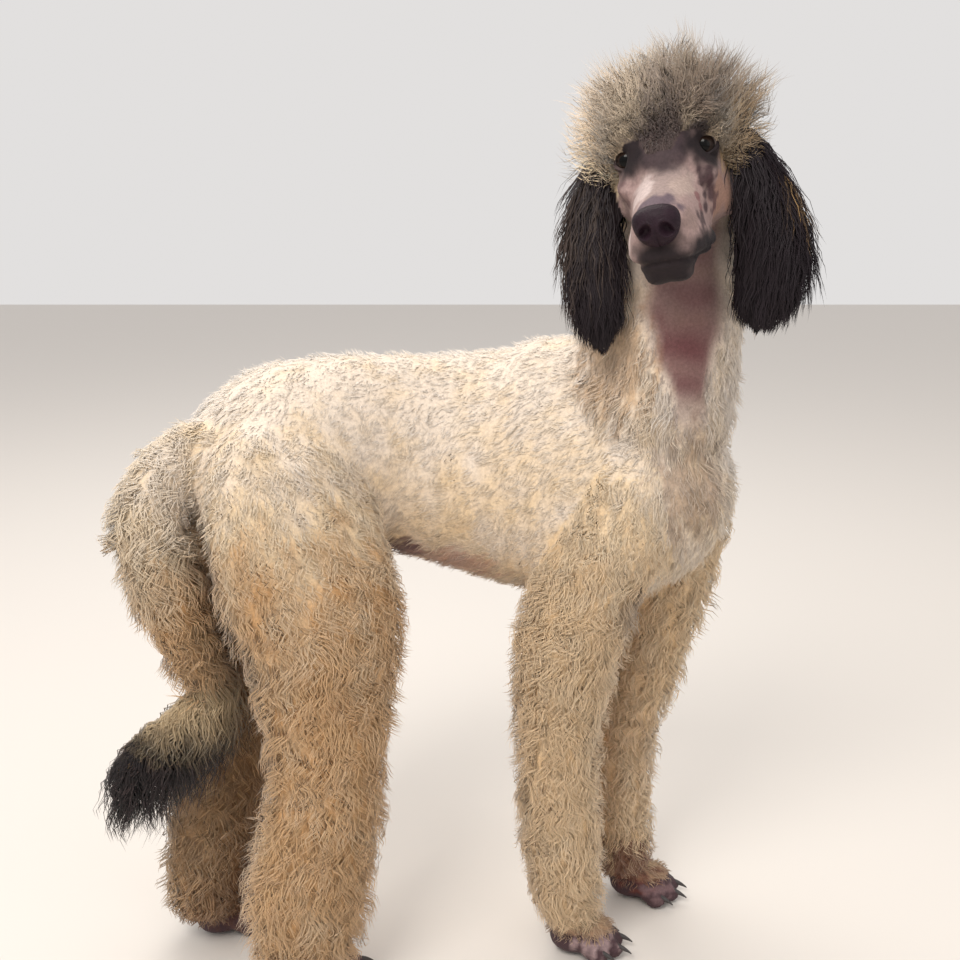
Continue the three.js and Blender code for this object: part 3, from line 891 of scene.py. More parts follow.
BASE_COLORS = {
    Region.TRUNK: PALE,
    Region.NECK: CREAM,
    Region.FORE_RIGHT: CREAM,
    Region.FORE_LEFT: CREAM,
    Region.HIND_RIGHT: CREAM,
    Region.HIND_LEFT: CREAM,
    Region.TAIL: CREAM,
    Region.TAIL_END: (196, 168, 128),
    Region.EAR_LEFT: (32, 24, 29),
    Region.EAR_RIGHT: (34, 26, 30),
    Region.FACE: (156, 132, 128),
    Region.CROWN: (180, 161, 138),
    Region.NAPE: (228, 205, 174),
    Region.PAW: (72, 53, 57),
}

# Height along x under which the hair of the tail's end turns dark, and how softly it does
FRINGE_LINE = ((-355, -298, -241), (306, 286, 276))
FRINGE_ABOVE, FRINGE_BELOW = 26, -22

# Half width of the shaved throat at heights, its middle and lean, and its height of most red
THROAT_WIDTH = ((580, 640, 700, 790), (10, 24, 38, 46))
THROAT_X, THROAT_Z, THROAT_LEAN = 186, 700, 0.1
THROAT_RED_AT = 655

NECK_AND_TRUNK = (Region.NECK, Region.TRUNK)
ON_CROWN = {"only": (Region.CROWN,)}
ON_FACE = {"only": (Region.FACE,)}
ON_BODY = {"on_head": False, "rough": 0.3}

MARKINGS = (
    # temples, paler and warmer
    Marking((-34, 52, -10), (28, 26, 32), (184, 156, 120), 0.9, only=HAIR_OF_HEAD),
    Marking((-34, -52, -10), (28, 26, 32), (250, 226, 190), 0.9, only=HAIR_OF_HEAD),
    # grey streak up from between the eyes, pale right side and brown left side of the topknot
    Marking((14, 2, 14), (32, 26, 30), (64, 50, 52), 0.95, **ON_CROWN),
    Marking((-40, -62, 34), (52, 36, 54), (234, 208, 180), 0.8, **ON_CROWN),
    Marking((-18, 5, 62), (46, 18, 52), (126, 109, 100), 0.8),
    Marking((-14, 36, 32), (30, 24, 24), (108, 86, 70), 0.85, **ON_CROWN),
    Marking((-48, 48, 48), (52, 38, 52), (118, 96, 76), 0.88, **ON_CROWN),
    # pale bridge, mauve sides and dark forehead; the sides darker, most on the head's left and low by
    # the mouth, partly the face's own mauve and partly painted shade
    Marking((52, 3, -16), (40, 25, 24), (150, 132, 127), 0.95, **ON_FACE),
    Marking((54, -17, -20), (26, 12, 17), (200, 182, 178), 0.9, **ON_FACE),
    Marking((52, 17, -22), (24, 11, 15), (172, 152, 143), 0.85, **ON_FACE),
    Marking((84, 26, -42), (18, 9, 12), (138, 116, 110), 0.8, **ON_FACE),
    Marking((2, 42, -46), (26, 16, 26), (168, 132, 116), 0.85, **ON_FACE),
    Marking((26, 2, 3), (27, 28, 18), (56, 44, 48), 0.94, rough=0.1, **ON_FACE),
    Marking((20, 14, 16), (20, 16, 14), (56, 44, 48), 0.94, rough=0.1, **ON_FACE),
    # grey ring over the nose
    Marking((87, 0, -24), (12, 27, 14), (88, 74, 84), 0.9),
    # dark round the eyes: dark skin and hair, with painted shade in the sockets under the brow
    Marking((6, 33, 0), (29, 22, 25), (26, 19, 23), 0.98, rough=0.12, **ON_FACE),
    Marking((9, -27, 4), (30, 25, 26), (28, 20, 24), 0.98, rough=0.12, **ON_FACE),
    Marking((10, 30, 12), (15, 13, 11), (44, 34, 38), 0.95, rough=0.12, **ON_CROWN),
    Marking((10, -24, 10), (13, 12, 9), (56, 44, 47), 0.95, rough=0.12, **ON_CROWN),
    # dark line down from the left eye and spots beside it, fainter on the right
    Marking((27, 36, -22), (11, 10, 18), (52, 36, 40), 0.92, rough=0.4),
    Marking((21, 37, -36), (9, 8, 14), (74, 52, 56), 0.9, rough=0.4),
    Marking((13, 38, -48), (9, 9, 12), (96, 70, 72), 0.85, rough=0.5),
    Marking((39, 31, -45), (10, 8, 9), (66, 48, 52), 0.9, rough=0.6),
    Marking((48, 28, -35), (7, 7, 7), (128, 88, 88), 0.85, rough=0.6),
    Marking((62, 29, -52), (13, 8, 8), (64, 48, 52), 0.85, rough=0.6),
    Marking((22, -36, -22), (10, 9, 14), (96, 73, 74), 0.8, rough=0.4),
    # dark chin and lips, but for a pale spot on the right: black lips and chin, with painted shadow
    # under the nose and under the chin
    Marking((98, 0, -80), (38, 31, 45), (27, 19, 23), 0.98, rough=0.08),
    Marking((76, 28, -70), (34, 13, 17), (27, 19, 23), 0.98, rough=0.08),
    Marking((52, 0, -94), (56, 54, 37), (28, 20, 24), 0.98, rough=0.08),
    Marking((46, 33, -72), (32, 14, 14), (26, 19, 23), 0.98, rough=0.08),
    Marking((76, -31, -56), (15, 10, 14), (190, 172, 168), 0.9, rough=0.2),
    # browner wool at the neck's side, and painted shade darkening the front of the breast
    Marking((128, -30, 650), (44, 50, 60), (206, 170, 132), 0.7, False, 0.4, NECK_AND_TRUNK),
    Marking((200, -60, 530), (44, 60, 60), (168, 142, 122), 0.7, False, 0.4, NECK_AND_TRUNK),
    # golden hair behind the left ear and at its outer edge
    Marking((270, 0, 820), (90, 90, 80), (224, 186, 134), 0.6, False, only=(Region.NAPE,)),
    Marking((284, -60, 842), (27, 60, 34), (206, 168, 118), 0.85, **ON_BODY, only=(Region.EAR_LEFT,)),
    # painted shade on the fleece of the left hind leg, the far one, and under the tail by the right
    # hind leg; warmer on the left fore leg
    Marking((-290, 20, 120), (90, 70, 330), (140, 108, 78), 0.75, **ON_BODY, only=(Region.HIND_LEFT,)),
    Marking((-240, -70, 330), (50, 60, 130), (150, 118, 84), 0.7, **ON_BODY, only=FLEECED),
    Marking((150, 90, 260), (60, 60, 200), (220, 184, 150), 0.4, **ON_BODY, only=(Region.FORE_LEFT,)),
    # bare skin at the flank, and painted shade behind the elbow in the gap between the fore legs
    Marking((-84, 46, 436), (30, 40, 26), (98, 62, 70), 0.9, **ON_BODY, only=(Region.TRUNK,)),
    Marking((-30, 30, 420), (60, 60, 26), (196, 148, 132), 0.7, **ON_BODY, only=(Region.TRUNK,)),
    Marking((153, -42, 412), (30, 30, 30), (110, 84, 78), 0.5, **ON_BODY),
    # a stain over the left fore paw, and darker and browner low on the left hind leg
    Marking((168, 50, 58), (44, 44, 36), (112, 58, 46), 0.85, False, 0.4),
    Marking((-268, 10, 62), (60, 60, 50), (110, 72, 48), 0.5, False),
    # paler over the knuckles: pinker skin, with a painted highlight
    Marking((124, -40, 22), (22, 14, 10), (170, 146, 146), 0.7, False, 0.6, (Region.PAW,)),
    Marking((206, 58, 22), (20, 14, 10), (130, 104, 106), 0.6, False, 0.6, (Region.PAW,)),
    # painted highlight on the right ear's black hair, as lighter strands
    Marking((86, -50, 800), (22, 30, 50), (112, 96, 84), 0.28, False, 0.7, (Region.EAR_RIGHT,)),
)


def throat(places: Array) -> Array:
    """1 on the shaved throat, 0 on the rest of the neck.

    Args:
        places: where, in the dog's frame.

    Returns:
        One share for each place.
    """
    x, y, z = places.T
    across = np.abs(x - (THROAT_X + THROAT_LEAN * (THROAT_Z - z))) + 3 * ripple(places, 60, 6)
    share = 1 - smooth(0.6, 1.25, across / np.interp(z, *THROAT_WIDTH))
    return share * smooth(-2, -22, y) * smooth(560, 638, z)


def paint(places: Array, region: Array) -> Array:
    """The colour of skin or of a tuft's root.

    Args:
        places: where, in millimetres in the dog's frame.
        region: the number of the region at each place.

    Returns:
        Linear colours, one a row.
    """
    table = np.array([linear(*BASE_COLORS[r]) for r in Region])
    height = places[:, 2]
    tail, trunk = region == Region.TAIL.value, region == Region.TRUNK.value
    hind = np.isin(region, numbers((Region.HIND_RIGHT, Region.HIND_LEFT, Region.TAIL)))
    low = np.where(tail, smooth(TAIL_TAN_FROM, TAIL_TAN_TO, height), smooth(TAN_FROM, TAN_TO, height))
    low = low * np.where(trunk, TRUNK_SHARE, 1) + np.where(tail, TAIL_START, 0)
    for strength, width, which in CLOUDS:
        low = low + strength * ripple(places, width, which)
    low = np.clip(low, 0, 1)[:, None]
    upper, lower = np.clip(2 * low, 0, 1), np.clip(2 * low - 1, 0, 1)
    lowest = np.where(hind[:, None], linear(*BROWN), linear(*TAN))
    fleece = linear(*PALE) * (1 - upper) + linear(*CREAM) * (upper - lower) + lowest * lower
    colors = np.where((region <= Region.TAIL.value)[:, None], fleece, table[region])
    hem = HEM_STRENGTH * smooth(HEM + HEM_ABOVE, HEM + HEM_BELOW, height)
    hem = hem * (region < Region.TAIL.value)
    colors = colors + (linear(*HEM_COLOR) - colors) * hem[:, None]
    local = mapped(HEAD.inverted(), places)
    for marking in MARKINGS:
        colors = marking.apply(colors, places, local, region)
    bare = throat(places) * (region == Region.NECK.value) * (1 - 0.06 * ripple(places, 50, 9))
    red = np.exp(-((height - THROAT_RED_AT) / 50) ** 2)[:, None]
    redder = linear(*THROAT) * (1 - 0.4 * red * np.array([0, 1, 0.8]))
    colors = colors + (redder - colors) * 0.92 * bare[:, None]
    return np.clip(colors, 0.004, 1)


# Height of the topknot's hairline along the head, how far its peak between the eyes comes down
# and forward, and how far forward and down the hair of the nape grows, in the head's frame
HAIRLINE = ((-120, -60, -30, -14, 6, 16, 40), (-44, -44, -36, -14, 10, 22, 60))
PEAK, PEAK_FRONT = 36, 37
NAPE_FRONT, NAPE_BOTTOM = -52, -75


def regions_at(places: Array) -> Array:
    """The number of the region that each place on the skin belongs to.

    Args:
        places: where, in millimetres in the dog's frame.

    Returns:
        One region number for each place.
    """
    order = list(FORMS)
    away = np.stack([np.abs(FORMS[r].locate(places)[2] - 1) for r in order], 1)
    number = np.array(numbers(order))[away.argmin(1)]
    x, y, z = mapped(HEAD.inverted(), places).T
    on_skull = number == Region.FACE.value
    between = 1 - smooth(9, 19, np.abs(y))
    crown = on_skull & (z - np.interp(x, *HAIRLINE) + PEAK * between > 0) & (x < PEAK_FRONT)
    number[crown] = Region.CROWN.value
    nape = (on_skull | (number == Region.NECK.value)) & (x < NAPE_FRONT) & (z > NAPE_BOTTOM)
    number[nape & ~crown] = Region.NAPE.value
    number[places[:, 2] < HEM - 4] = Region.PAW.value
    return number


@dataclass(frozen=True)
class CoatStyle:
    """How one kind of coat grows.

    Args:
        count: number of tufts.
        length: shortest and longest tuft.
        width: width of a tuft near its root.
        lift: how far tufts stand up at root and at tip, 0 lying and 1 upright.
        curl: how strongly a tuft winds.
        turns: how many times it winds over its length.
        clump: spacing of the points that neighbouring tufts lean to.
        gather: how far they lean to it.
        rings: rings along a tuft.
        stray: how far single tufts leave the lie.
        tip_light: how much lighter tips are than roots, the darker roots being painted shade deep in
            the coat.
        sag: how far a tuft bends down along its length.
        softness: how far the tufts take their shading from the body's form.
        mottle: how much tufts differ in lightness.
    """

    count: int
    length: tuple
    width: float
    lift: tuple = (0.5, 0.35)
    curl: float = 0.6
    turns: float = 0.8
    clump: float = 14.0
    gather: float = 0.55
    rings: int = 3
    stray: float = 0.22
    tip_light: float = 0.12
    sag: float = 0.12
    softness: float = 0.8
    mottle: float = 0.12


LEG = {"lift": (0.5, 0.3), "curl": 0.95, "turns": 1.1, "clump": 15, "gather": 0.6, "stray": 0.15,
       "softness": 1.3, "mottle": 0.07}
SHORT = {"lift": (0.4, 0.26), "curl": 0.6, "turns": 0.7, "clump": 12, "gather": 0.5, "rings": 2,
         "stray": 0.15, "softness": 1.3, "mottle": 0.07}
EAR = {"width": 1.4, "lift": (0.25, 0.05), "curl": 0.5, "turns": 2.0, "clump": 11, "gather": 0.6,
       "rings": 5, "stray": 0.1, "sag": 0.9}
VELVET = {"width": 0.8, "lift": (0.25, 0.12), "curl": 0.15, "turns": 0.5, "clump": 5, "gather": 0.1,
          "rings": 2, "stray": 0.12, "tip_light": 0.1}
FRINGE_LOCKS = {"lift": (0.6, 0.0), "curl": 1.1, "turns": 2.1, "clump": 11, "gather": 0.6, "rings": 6,
                "stray": 0.14, "sag": 1.4}
CURLS = {"lift": (1.0, 0.9), "curl": 0.85, "turns": 1.7, "gather": 0.6, "rings": 5, "stray": 0.16,
         "mottle": 0.2}
WISPS = {"lift": (1.0, 0.9), "curl": 1.7, "turns": 2.2, "clump": 10, "gather": 0.5, "rings": 6,
         "stray": 0.25, "mottle": 0.3}
NAPE_LOCKS = {"lift": (1.0, 0.6), "curl": 0.6, "turns": 1.4, "clump": 12, "gather": 0.4, "rings": 4,
              "sag": 0.4}
# Stands for lengths that come from the outline of the hair instead
TO_THE_OUTLINE = (0, 0)

STYLES = {
    "coat_trunk": (Region.TRUNK, CoatStyle(14800, (13, 20), 1.25, **SHORT)),
    "coat_neck": (Region.NECK, CoatStyle(8100, (12, 22), 1.2, **SHORT)),
    "coat_fore_right": (Region.FORE_RIGHT, CoatStyle(11000, (24, 33), 1.25, **LEG)),
    "coat_fore_left": (Region.FORE_LEFT, CoatStyle(7000, (24, 33), 1.5, **LEG)),
    "coat_hind_right": (Region.HIND_RIGHT, CoatStyle(12200, (25, 35), 1.35, **LEG)),
    "coat_hind_left": (Region.HIND_LEFT, CoatStyle(7400, (25, 35), 1.7, **LEG)),
    "coat_tail": (Region.TAIL, CoatStyle(4200, (22, 36), 1.45, **LEG)),
    "coat_tail_end": (Region.TAIL_END, CoatStyle(2300, (30, 104), 1.3, **FRINGE_LOCKS)),
    "coat_crown": (Region.CROWN, CoatStyle(4800, TO_THE_OUTLINE, 0.9, **CURLS)),
    "coat_wisps": (Region.CROWN, CoatStyle(3400, TO_THE_OUTLINE, 0.7, **WISPS)),
    "coat_nape": (Region.NAPE, CoatStyle(2400, TO_THE_OUTLINE, 1.1, **NAPE_LOCKS)),
    "coat_ear_left": (Region.EAR_LEFT, CoatStyle(2700, (12, 66), **EAR)),
    "coat_ear_right": (Region.EAR_RIGHT, CoatStyle(2400, (12, 64), **EAR)),
    "coat_face": (Region.FACE, CoatStyle(5600, (3.0, 5.5), **VELVET)),
    "coat_paws": (Region.PAW, CoatStyle(2200, (3, 5), **VELVET)),
}

# Stretches over which the lie or the length changes, from and to: along the body for chest and
# hips, in height for neck, legs, hem and tail, along the head for the front of the topknot
CHEST, HIPS = (150, 215), (-190, -250)
NECK_GROWS, LEG_GROWS, HEM_SHRINKS, TAIL_GROWS = (720, 600), (520, 380), (70, 40), (600, 480)
TOPKNOT_FRONT = (4, 24)
# Where the hair of topknot and nape points away from, and the middle and half sizes of the outline
# that it reaches, in the head's frame for the topknot and in the dog's for the nape
CROWN_HUB, CROWN_OUTLINE = (-42, 0, -46), ((-58, 0, 20), (80, 101, 79))
NAPE_HUB, NAPE_OUTLINE = (190, -36, 835), ((226, 4, 812), (100, 56, 64))
NAPE_SHORTEST = 22
# Height that the ends of the tail's hair hang down to, and how long an ear is, since its hair ends
# about where the ear does
FRINGE_HANGS_TO, EAR_LENGTH = 186, 150
# How much shorter and how much flatter the shaved throat's hair is, the length of a leg's lowest
# hair as a share of its shortest, and how much shorter it gets at the hem
SHAVED, FLATTENED, LEG_LOWEST, HEM_SHORTER = 0.74, 0.6, 0.72, 0.55

# How deep tufts are rooted, how far one leans to its neighbours at most, the length from which it
# curls in full, and how close to the floor it comes
ROOT_DEPTH, LEAN_LIMIT, CURLS_FROM, FLOOR_GAP = 1.2, 5, 18, 0.6
# Width of a tuft's patch on the map of its colours
PATCH = 0.003


@dataclass
class SkinField:
    """The skin's places, normals and regions, for planting tufts.

    Args:
        skin: the finished skin, in millimetres.
    """

    skin: bpy.types.Object

    def __post_init__(self) -> None:
        """Reads the skin's triangles and finds each one's region."""
        mesh = self.skin.data
        mesh.calc_loop_triangles()
        self.places = corners(mesh)
        normals = np.empty(len(mesh.vertices) * 3)
        mesh.vertices.foreach_get("normal", normals)
        self.normals = normals.reshape(-1, 3)
        tris = np.empty(len(mesh.loop_triangles) * 3, int)
        mesh.loop_triangles.foreach_get("vertices", tris)
        self.tris = tris.reshape(-1, 3)
        self.region = regions_at(self.places)
        a, b, c = (self.places[self.tris[:, i]] for i in range(3))
        self.area = np.linalg.norm(np.cross(b - a, c - a), axis=1) / 2
        self.tri_region = self.region[self.tris[:, 0]]

    def plant(self, region: Region, count: int, rng: np.random.Generator) -> tuple:
        """Evenly scattered roots on a region.

        Args:
            region: the region to plant.
            count: number of roots.
            rng: the random draws.

        Returns:
            Roots and normals.
        """
        pool = np.flatnonzero(self.tri_region == region.value)
        total = np.cumsum(self.area[pool])
        steps = (np.arange(count) + rng.uniform(0, 1, count)) / count * total[-1]
        chosen = pool[np.searchsorted(total, steps)]
        u, v = rng.uniform(0, 1, (2, count))
        flip = u + v > 1
        u[flip], v[flip] = 1 - u[flip], 1 - v[flip]
        weights = np.stack([1 - u - v, u, v], 1)[:, :, None]
        roots = (self.places[self.tris[chosen]] * weights).sum(1)
        normals = unit((self.normals[self.tris[chosen]] * weights).sum(1))
        return roots, normals


@dataclass
class Coat:
    """One piece of coat, as a joined mesh of solid tufts.

    Args:
        name: the piece's name.
        region: where it grows.
        style: how it grows.
    """

    name: str
    region: Region
    style: CoatStyle

    def form(self) -> Form:
        """The body form that the coat's own map unwraps."""
        if self.region in (Region.CROWN, Region.NAPE):
            return FORMS[Region.FACE]
        return FORMS[Region.FORE_RIGHT if self.region is Region.PAW else self.region]

    def lie(self, roots: Array, normals: Array) -> tuple:
        """Which way the coat lies, how long it is and how far it stands.

        Args:
            roots: the tufts' roots.
            normals: the skin's normals there.

        Returns:
            Directions, lengths and a share from 0 to 1 that scales the lift.
        """
        form, region = self.form(), self.region
        share = form.locate(roots)[0]
        tangent = form.at(share)[1]
        height = roots[:, 2]
        low, high = self.style.length
        stand = np.ones(len(roots))
        if region in HAIR_OF_HEAD:
            way, length = self.lie_on_head(roots)
        elif region is Region.TRUNK:
            chest = smooth(*CHEST, roots[:, 0])
            length = low + (high - low) * np.maximum(chest, smooth(*HIPS, roots[:, 0]))
            way = (0.55 * DOWN - tangent) * (1 - chest)[:, None] + DOWN * chest[:, None]
        elif region is Region.NECK:
            way = -tangent
            bare = throat(roots)
            length = (low + (high - low) * smooth(*NECK_GROWS, height)) * (1 - SHAVED * bare)
            stand = 1 - FLATTENED * bare
        elif region in LEGS:
            way = tangent + 0.12 * (roots - roots.mean(0)) / 100
            length = low * LEG_LOWEST + (high - low * LEG_LOWEST) * smooth(*LEG_GROWS, height)
            length = length * (1 - HEM_SHORTER * smooth(*HEM_SHRINKS, height))
        elif region is Region.TAIL:
            way = tangent + 0.2 * normals
            length = low + (high - low) * smooth(*TAIL_GROWS, height)
        elif region is Region.TAIL_END:
            under = smooth(0.55, -0.05, normals[:, 2])
            hang = DOWN + 0.25 * tangent * np.array([1, 1, 0])
            way = tangent * (1 - under)[:, None] + hang * under[:, None]
            length = low + (np.clip(height - FRINGE_HANGS_TO, low, high) - low) * under
        elif region in (Region.EAR_LEFT, Region.EAR_RIGHT):
            tip = form.at(np.ones(len(roots)))[0]
            off = roots - form.at(share)[0]
            way = unit(tip + 0.45 * off + 26 * DOWN - roots) + 0.25 * DOWN
            length = np.clip((1 - share) * EAR_LENGTH, low, high)
        else:
            way = DOWN + 0.6 * normals
            length = np.full(len(roots), (low + high) / 2)
        return unit(way), length, stand

    def lie_on_head(self, roots: Array) -> tuple:
        """The lie and the length of the hair of topknot, nape and face.

        Args:
            roots: the tufts' roots.

        Returns:
            Directions and lengths.
        """
        local = mapped(HEAD.inverted(), roots)
        turn = np.array(HEAD)[:3, :3].T
        if self.region is Region.CROWN:
            way = unit((local - np.array(CROWN_HUB)) * np.array([1.05, 1.0, 1.0]))
            length = self.reach(local, way, *CROWN_OUTLINE)
            low_side = smooth(14, -26, local[:, 2])
            front = smooth(*TOPKNOT_FRONT, local[:, 0])
            length = length * (1.1 - 0.35 * low_side * smooth(0, 30, local[:, 1])) * (1 - 0.3 * front)
            way[:, 2] -= 0.5 * low_side
            way[:, 0] -= 0.4 * front
            return way @ turn, length
        if self.region is Region.NAPE:
            way = unit(roots - np.array(NAPE_HUB))
            length = np.maximum(self.reach(roots, way, *NAPE_OUTLINE), NAPE_SHORTEST)
            return way + 0.35 * DOWN, length
        low, high = self.style.length
        outwards = 0.25 * np.sign(local[:, 1])
        back = np.stack([-np.ones(len(roots)), outwards, 0.12 * local[:, 2] / 40], 1)
        return back @ turn, low + (high - low) * smooth(20, -40, local[:, 0])

    @staticmethod
    def reach(points: Array, ways: Array, middle: tuple, half: tuple) -> Array:
        """How far points are from an ellipsoid that they are inside, along their ways.

        Args:
            points: where from.
            ways: which way.
            middle: the ellipsoid's middle.
            half: its half sizes.

        Returns:
            One length for each point, at least a few millimetres.
        """
        p, w = (points - np.array(middle)) / np.array(half), ways / np.array(half)
        a, b, c = (w * w).sum(1), (p * w).sum(1), (p * p).sum(1) - 1
        root = np.sqrt(np.maximum(b * b - a * c, 0))
        return np.clip((root - b) / a, 9, 110)

    def build(self, skin: SkinField) -> bpy.types.Object:
        """Plants, bends and joins the tufts.

        Args:
            skin: the skin to grow from.

        Returns:
            The piece, still in millimetres.
        """
        style, rings = self.style, self.style.rings
        rng = np.random.default_rng(SEED + sum(map(ord, self.name)))
        roots, normals = skin.plant(self.region, style.count, rng)
        way, length, stand = self.lie(roots, normals)
        count = len(roots)
        area = skin.area[skin.tri_region == self.region.value].sum()
        spots = roots[rng.permutation(count)[:max(8, int(area / style.clump**2))]]
        nearest = closest(roots, spots)
        own = rng.normal(size=(count, 3))
        shared = rng.normal(size=(len(spots), 3))[nearest]
        phase = rng.uniform(0, 2 * math.pi, len(spots))[nearest] + rng.normal(0, 0.35, count)
        swirl = np.where(rng.uniform(size=len(spots)) < 0.5, -1, 1)[nearest]
        lean = 0.8 + 0.4 * rng.uniform(size=len(spots))[nearest]
        length = length * rng.uniform(0.78, 1.08, count)
        length = length * (0.9 + 0.2 * rng.uniform(size=len(spots))[nearest])
        flat = unit(way - normals * (way * normals).sum(1, keepdims=True))
        side = unit(np.cross(normals, flat))
        pull = (spots[nearest] - roots) * style.gather
        far = np.maximum(np.linalg.norm(pull, axis=1), 1e-6)
        pull *= np.minimum(1, LEAN_LIMIT / far)[:, None]
        wayward = own * style.stray * 0.6 + shared * style.stray
        calm = np.minimum(1, length / CURLS_FROM)[:, None]
        places, along = [roots - normals * ROOT_DEPTH], []
        for k in range(rings):
            s = (k + 0.5) / rings
            rise = (style.lift[0] * (1 - s) + style.lift[1] * s) * stand * lean
            rise = rise[:, None]
            brushed_up = self.region in (Region.CROWN, Region.NAPE)
            base = way if brushed_up else flat * (1 - rise) + normals * rise
            wave = phase + 2 * math.pi * style.turns * s * swirl
            strength = style.curl * min(1.0, 0.35 + s) * calm
            wind = side * np.cos(wave)[:, None] + normals * 0.6 * np.sin(wave)[:, None]
            step = unit(base + DOWN * style.sag * s + wind * strength + wayward * (0.4 + s))
            along.append(step)
            places.append(places[-1] + step * (length / rings)[:, None] + pull * s / rings)
        return self.join(np.stack(places, 1), np.stack(along, 1), normals, roots, rng)

    def join(self, places: Array, along: Array, normals: Array, roots: Array,
             rng: np.random.Generator) -> bpy.types.Object:
        """Gives each tuft its three-sided body, and joins them all.

        Args:
            places: the tufts' middles, roots first.
            along: the way of each length of a tuft.
            normals: the skin's normals.
            roots: where the tufts grow.
            rng: the random draws.

        Returns:
            The piece, still in millimetres.
        """
        style = self.style
        count, rings = len(places), style.rings
        wide = style.width * rng.uniform(0.75, 1.2, count) / 2
        rows, outs = [], []
        for k in range(rings):
            s = k / rings
            side = unit(np.cross(along[:, k], normals))
            rise = np.cross(side, along[:, k])
            w = (wide * (1 - 0.55 * s * s - 0.25 * s))[:, None]
            base = places[:, k] - rise * 0.3 * w
            rows += [base - side * w, base + side * w, places[:, k] + rise * 0.75 * w]
            outs += [-side - rise * 0.3, side - rise * 0.3, rise]
        rows.append(places[:, rings])
        outs.append(along[:, -1])
        body = np.stack(rows, 1)
        body[:, :, 2] = np.maximum(body[:, :, 2], FLOOR_GAP)
        size = body.shape[1]
        faces = [(0, 1, 2)]
        for k in range(rings - 1):
            a, b = 3 * k, 3 * k + 3
            faces += [(a + i, b + i, b + (i + 1) % 3, a + (i + 1) % 3) for i in range(3)]
        last = 3 * (rings - 1)
        faces += [(last + i, size - 1, last + (i + 1) % 3) for i in range(3)]
        mesh = self.mesh_of(body, faces)
        soft = unit(np.stack(outs, 1) * 0.4 + normals[:, None] * style.softness)
        layer = mesh.attributes.new("custom_normal", "FLOAT_VECTOR", "POINT")
        layer.data.foreach_set("vector", soft.ravel())
        self.color(mesh, roots, size, rng)
        self.unwrap(mesh, roots)
        return linked(self.name, mesh)

    def mesh_of(self, body: Array, faces: list) -> bpy.types.Mesh:
        """A mesh of many tufts with the same faces.

        Args:
            body: the corners of each tuft.
            faces: the faces of one tuft.

        Returns:
            The mesh.
        """
        count, size = body.shape[:2]
        flat = np.concatenate([np.array(f) for f in faces])
        lengths = np.array([len(f) for f in faces])
        loops = (flat[None] + np.arange(count)[:, None] * size).ravel()
        starts = np.concatenate([[0], np.cumsum(np.tile(lengths, count))[:-1]])
        mesh = bpy.data.meshes.new(self.name)
        mesh.vertices.add(count * size)
        mesh.vertices.foreach_set("co", body.reshape(-1))
        mesh.loops.add(len(loops))
        mesh.loops.foreach_set("vertex_index", loops)
        mesh.polygons.add(len(starts))
        mesh.polygons.foreach_set("loop_start", starts)
        mesh.update(calc_edges=True)
        return mesh

    def color(self, mesh: bpy.types.Mesh, roots: Array, size: int, rng: np.random.Generator) -> None:
        """Stores each tuft's colour, darker at its root as painted shade.

        Args:
            mesh: the joined tufts.
            roots: where the tufts grow.
            size: corners of one tuft.
            rng: the random draws.
        """
        style, count = self.style, len(roots)
        colors = paint(roots, np.full(count, self.region.value))
        colors = colors * rng.uniform(1 - style.mottle, 1 + style.mottle, (count, 1))
        share = np.append(np.repeat(np.arange(style.rings), 3) / style.rings, 1.0)
        # painted shade: each tuft darker at its root, lighter towards its tip
        light = 1 - style.tip_light + 1.35 * style.tip_light * share
        full = np.ones((count, size, 4))
        full[:, :, :3] = np.clip(colors[:, None] * light[None, :, None], 0, 1)
        if self.region is Region.TAIL_END:
            places = corners(mesh)
            line = np.interp(places[:, 0], *FRINGE_LINE) + 8 * ripple(places, 12, 8)
            dark = smooth(FRINGE_ABOVE, FRINGE_BELOW, places[:, 2] - line).reshape(count, size, 1)
            full[:, :, :3] += (linear(*FRINGE) - full[:, :, :3]) * dark
        layer = mesh.color_attributes.new("coat", "FLOAT_COLOR", "POINT")
        layer.data.foreach_set("color", full.ravel())

    def unwrap(self, mesh: bpy.types.Mesh, roots: Array) -> None:
        """Gives each tuft a small patch at its root's place on the unwrapped skin.

        Args:
            mesh: the joined tufts.
            roots: where the tufts grow.
        """
        rings = self.style.rings
        share, angle, _ = self.form().locate(roots)
        if self.region is Region.PAW:
            share = (np.arange(len(roots)) % 89) / 89
        middle = np.stack([0.02 + 0.96 * (angle / (2 * math.pi) + 0.5), 0.02 + 0.96 * share], 1)
        across = np.append(np.tile([-1.0, 1.0, 0.0], rings), 0.0)
        up = np.append(np.repeat(np.arange(rings), 3) / rings, 1.0) * 2 - 1
        patch = middle[:, None] + np.stack([across, up], 1)[None] * PATCH / 2
        loops = np.empty(len(mesh.loops), int)
        mesh.loops.foreach_get("vertex_index", loops)
        layer = mesh.uv_layers.new(name="OFBake")
        layer.uv.foreach_set("vector", patch.reshape(-1, 2)[loops].ravel())


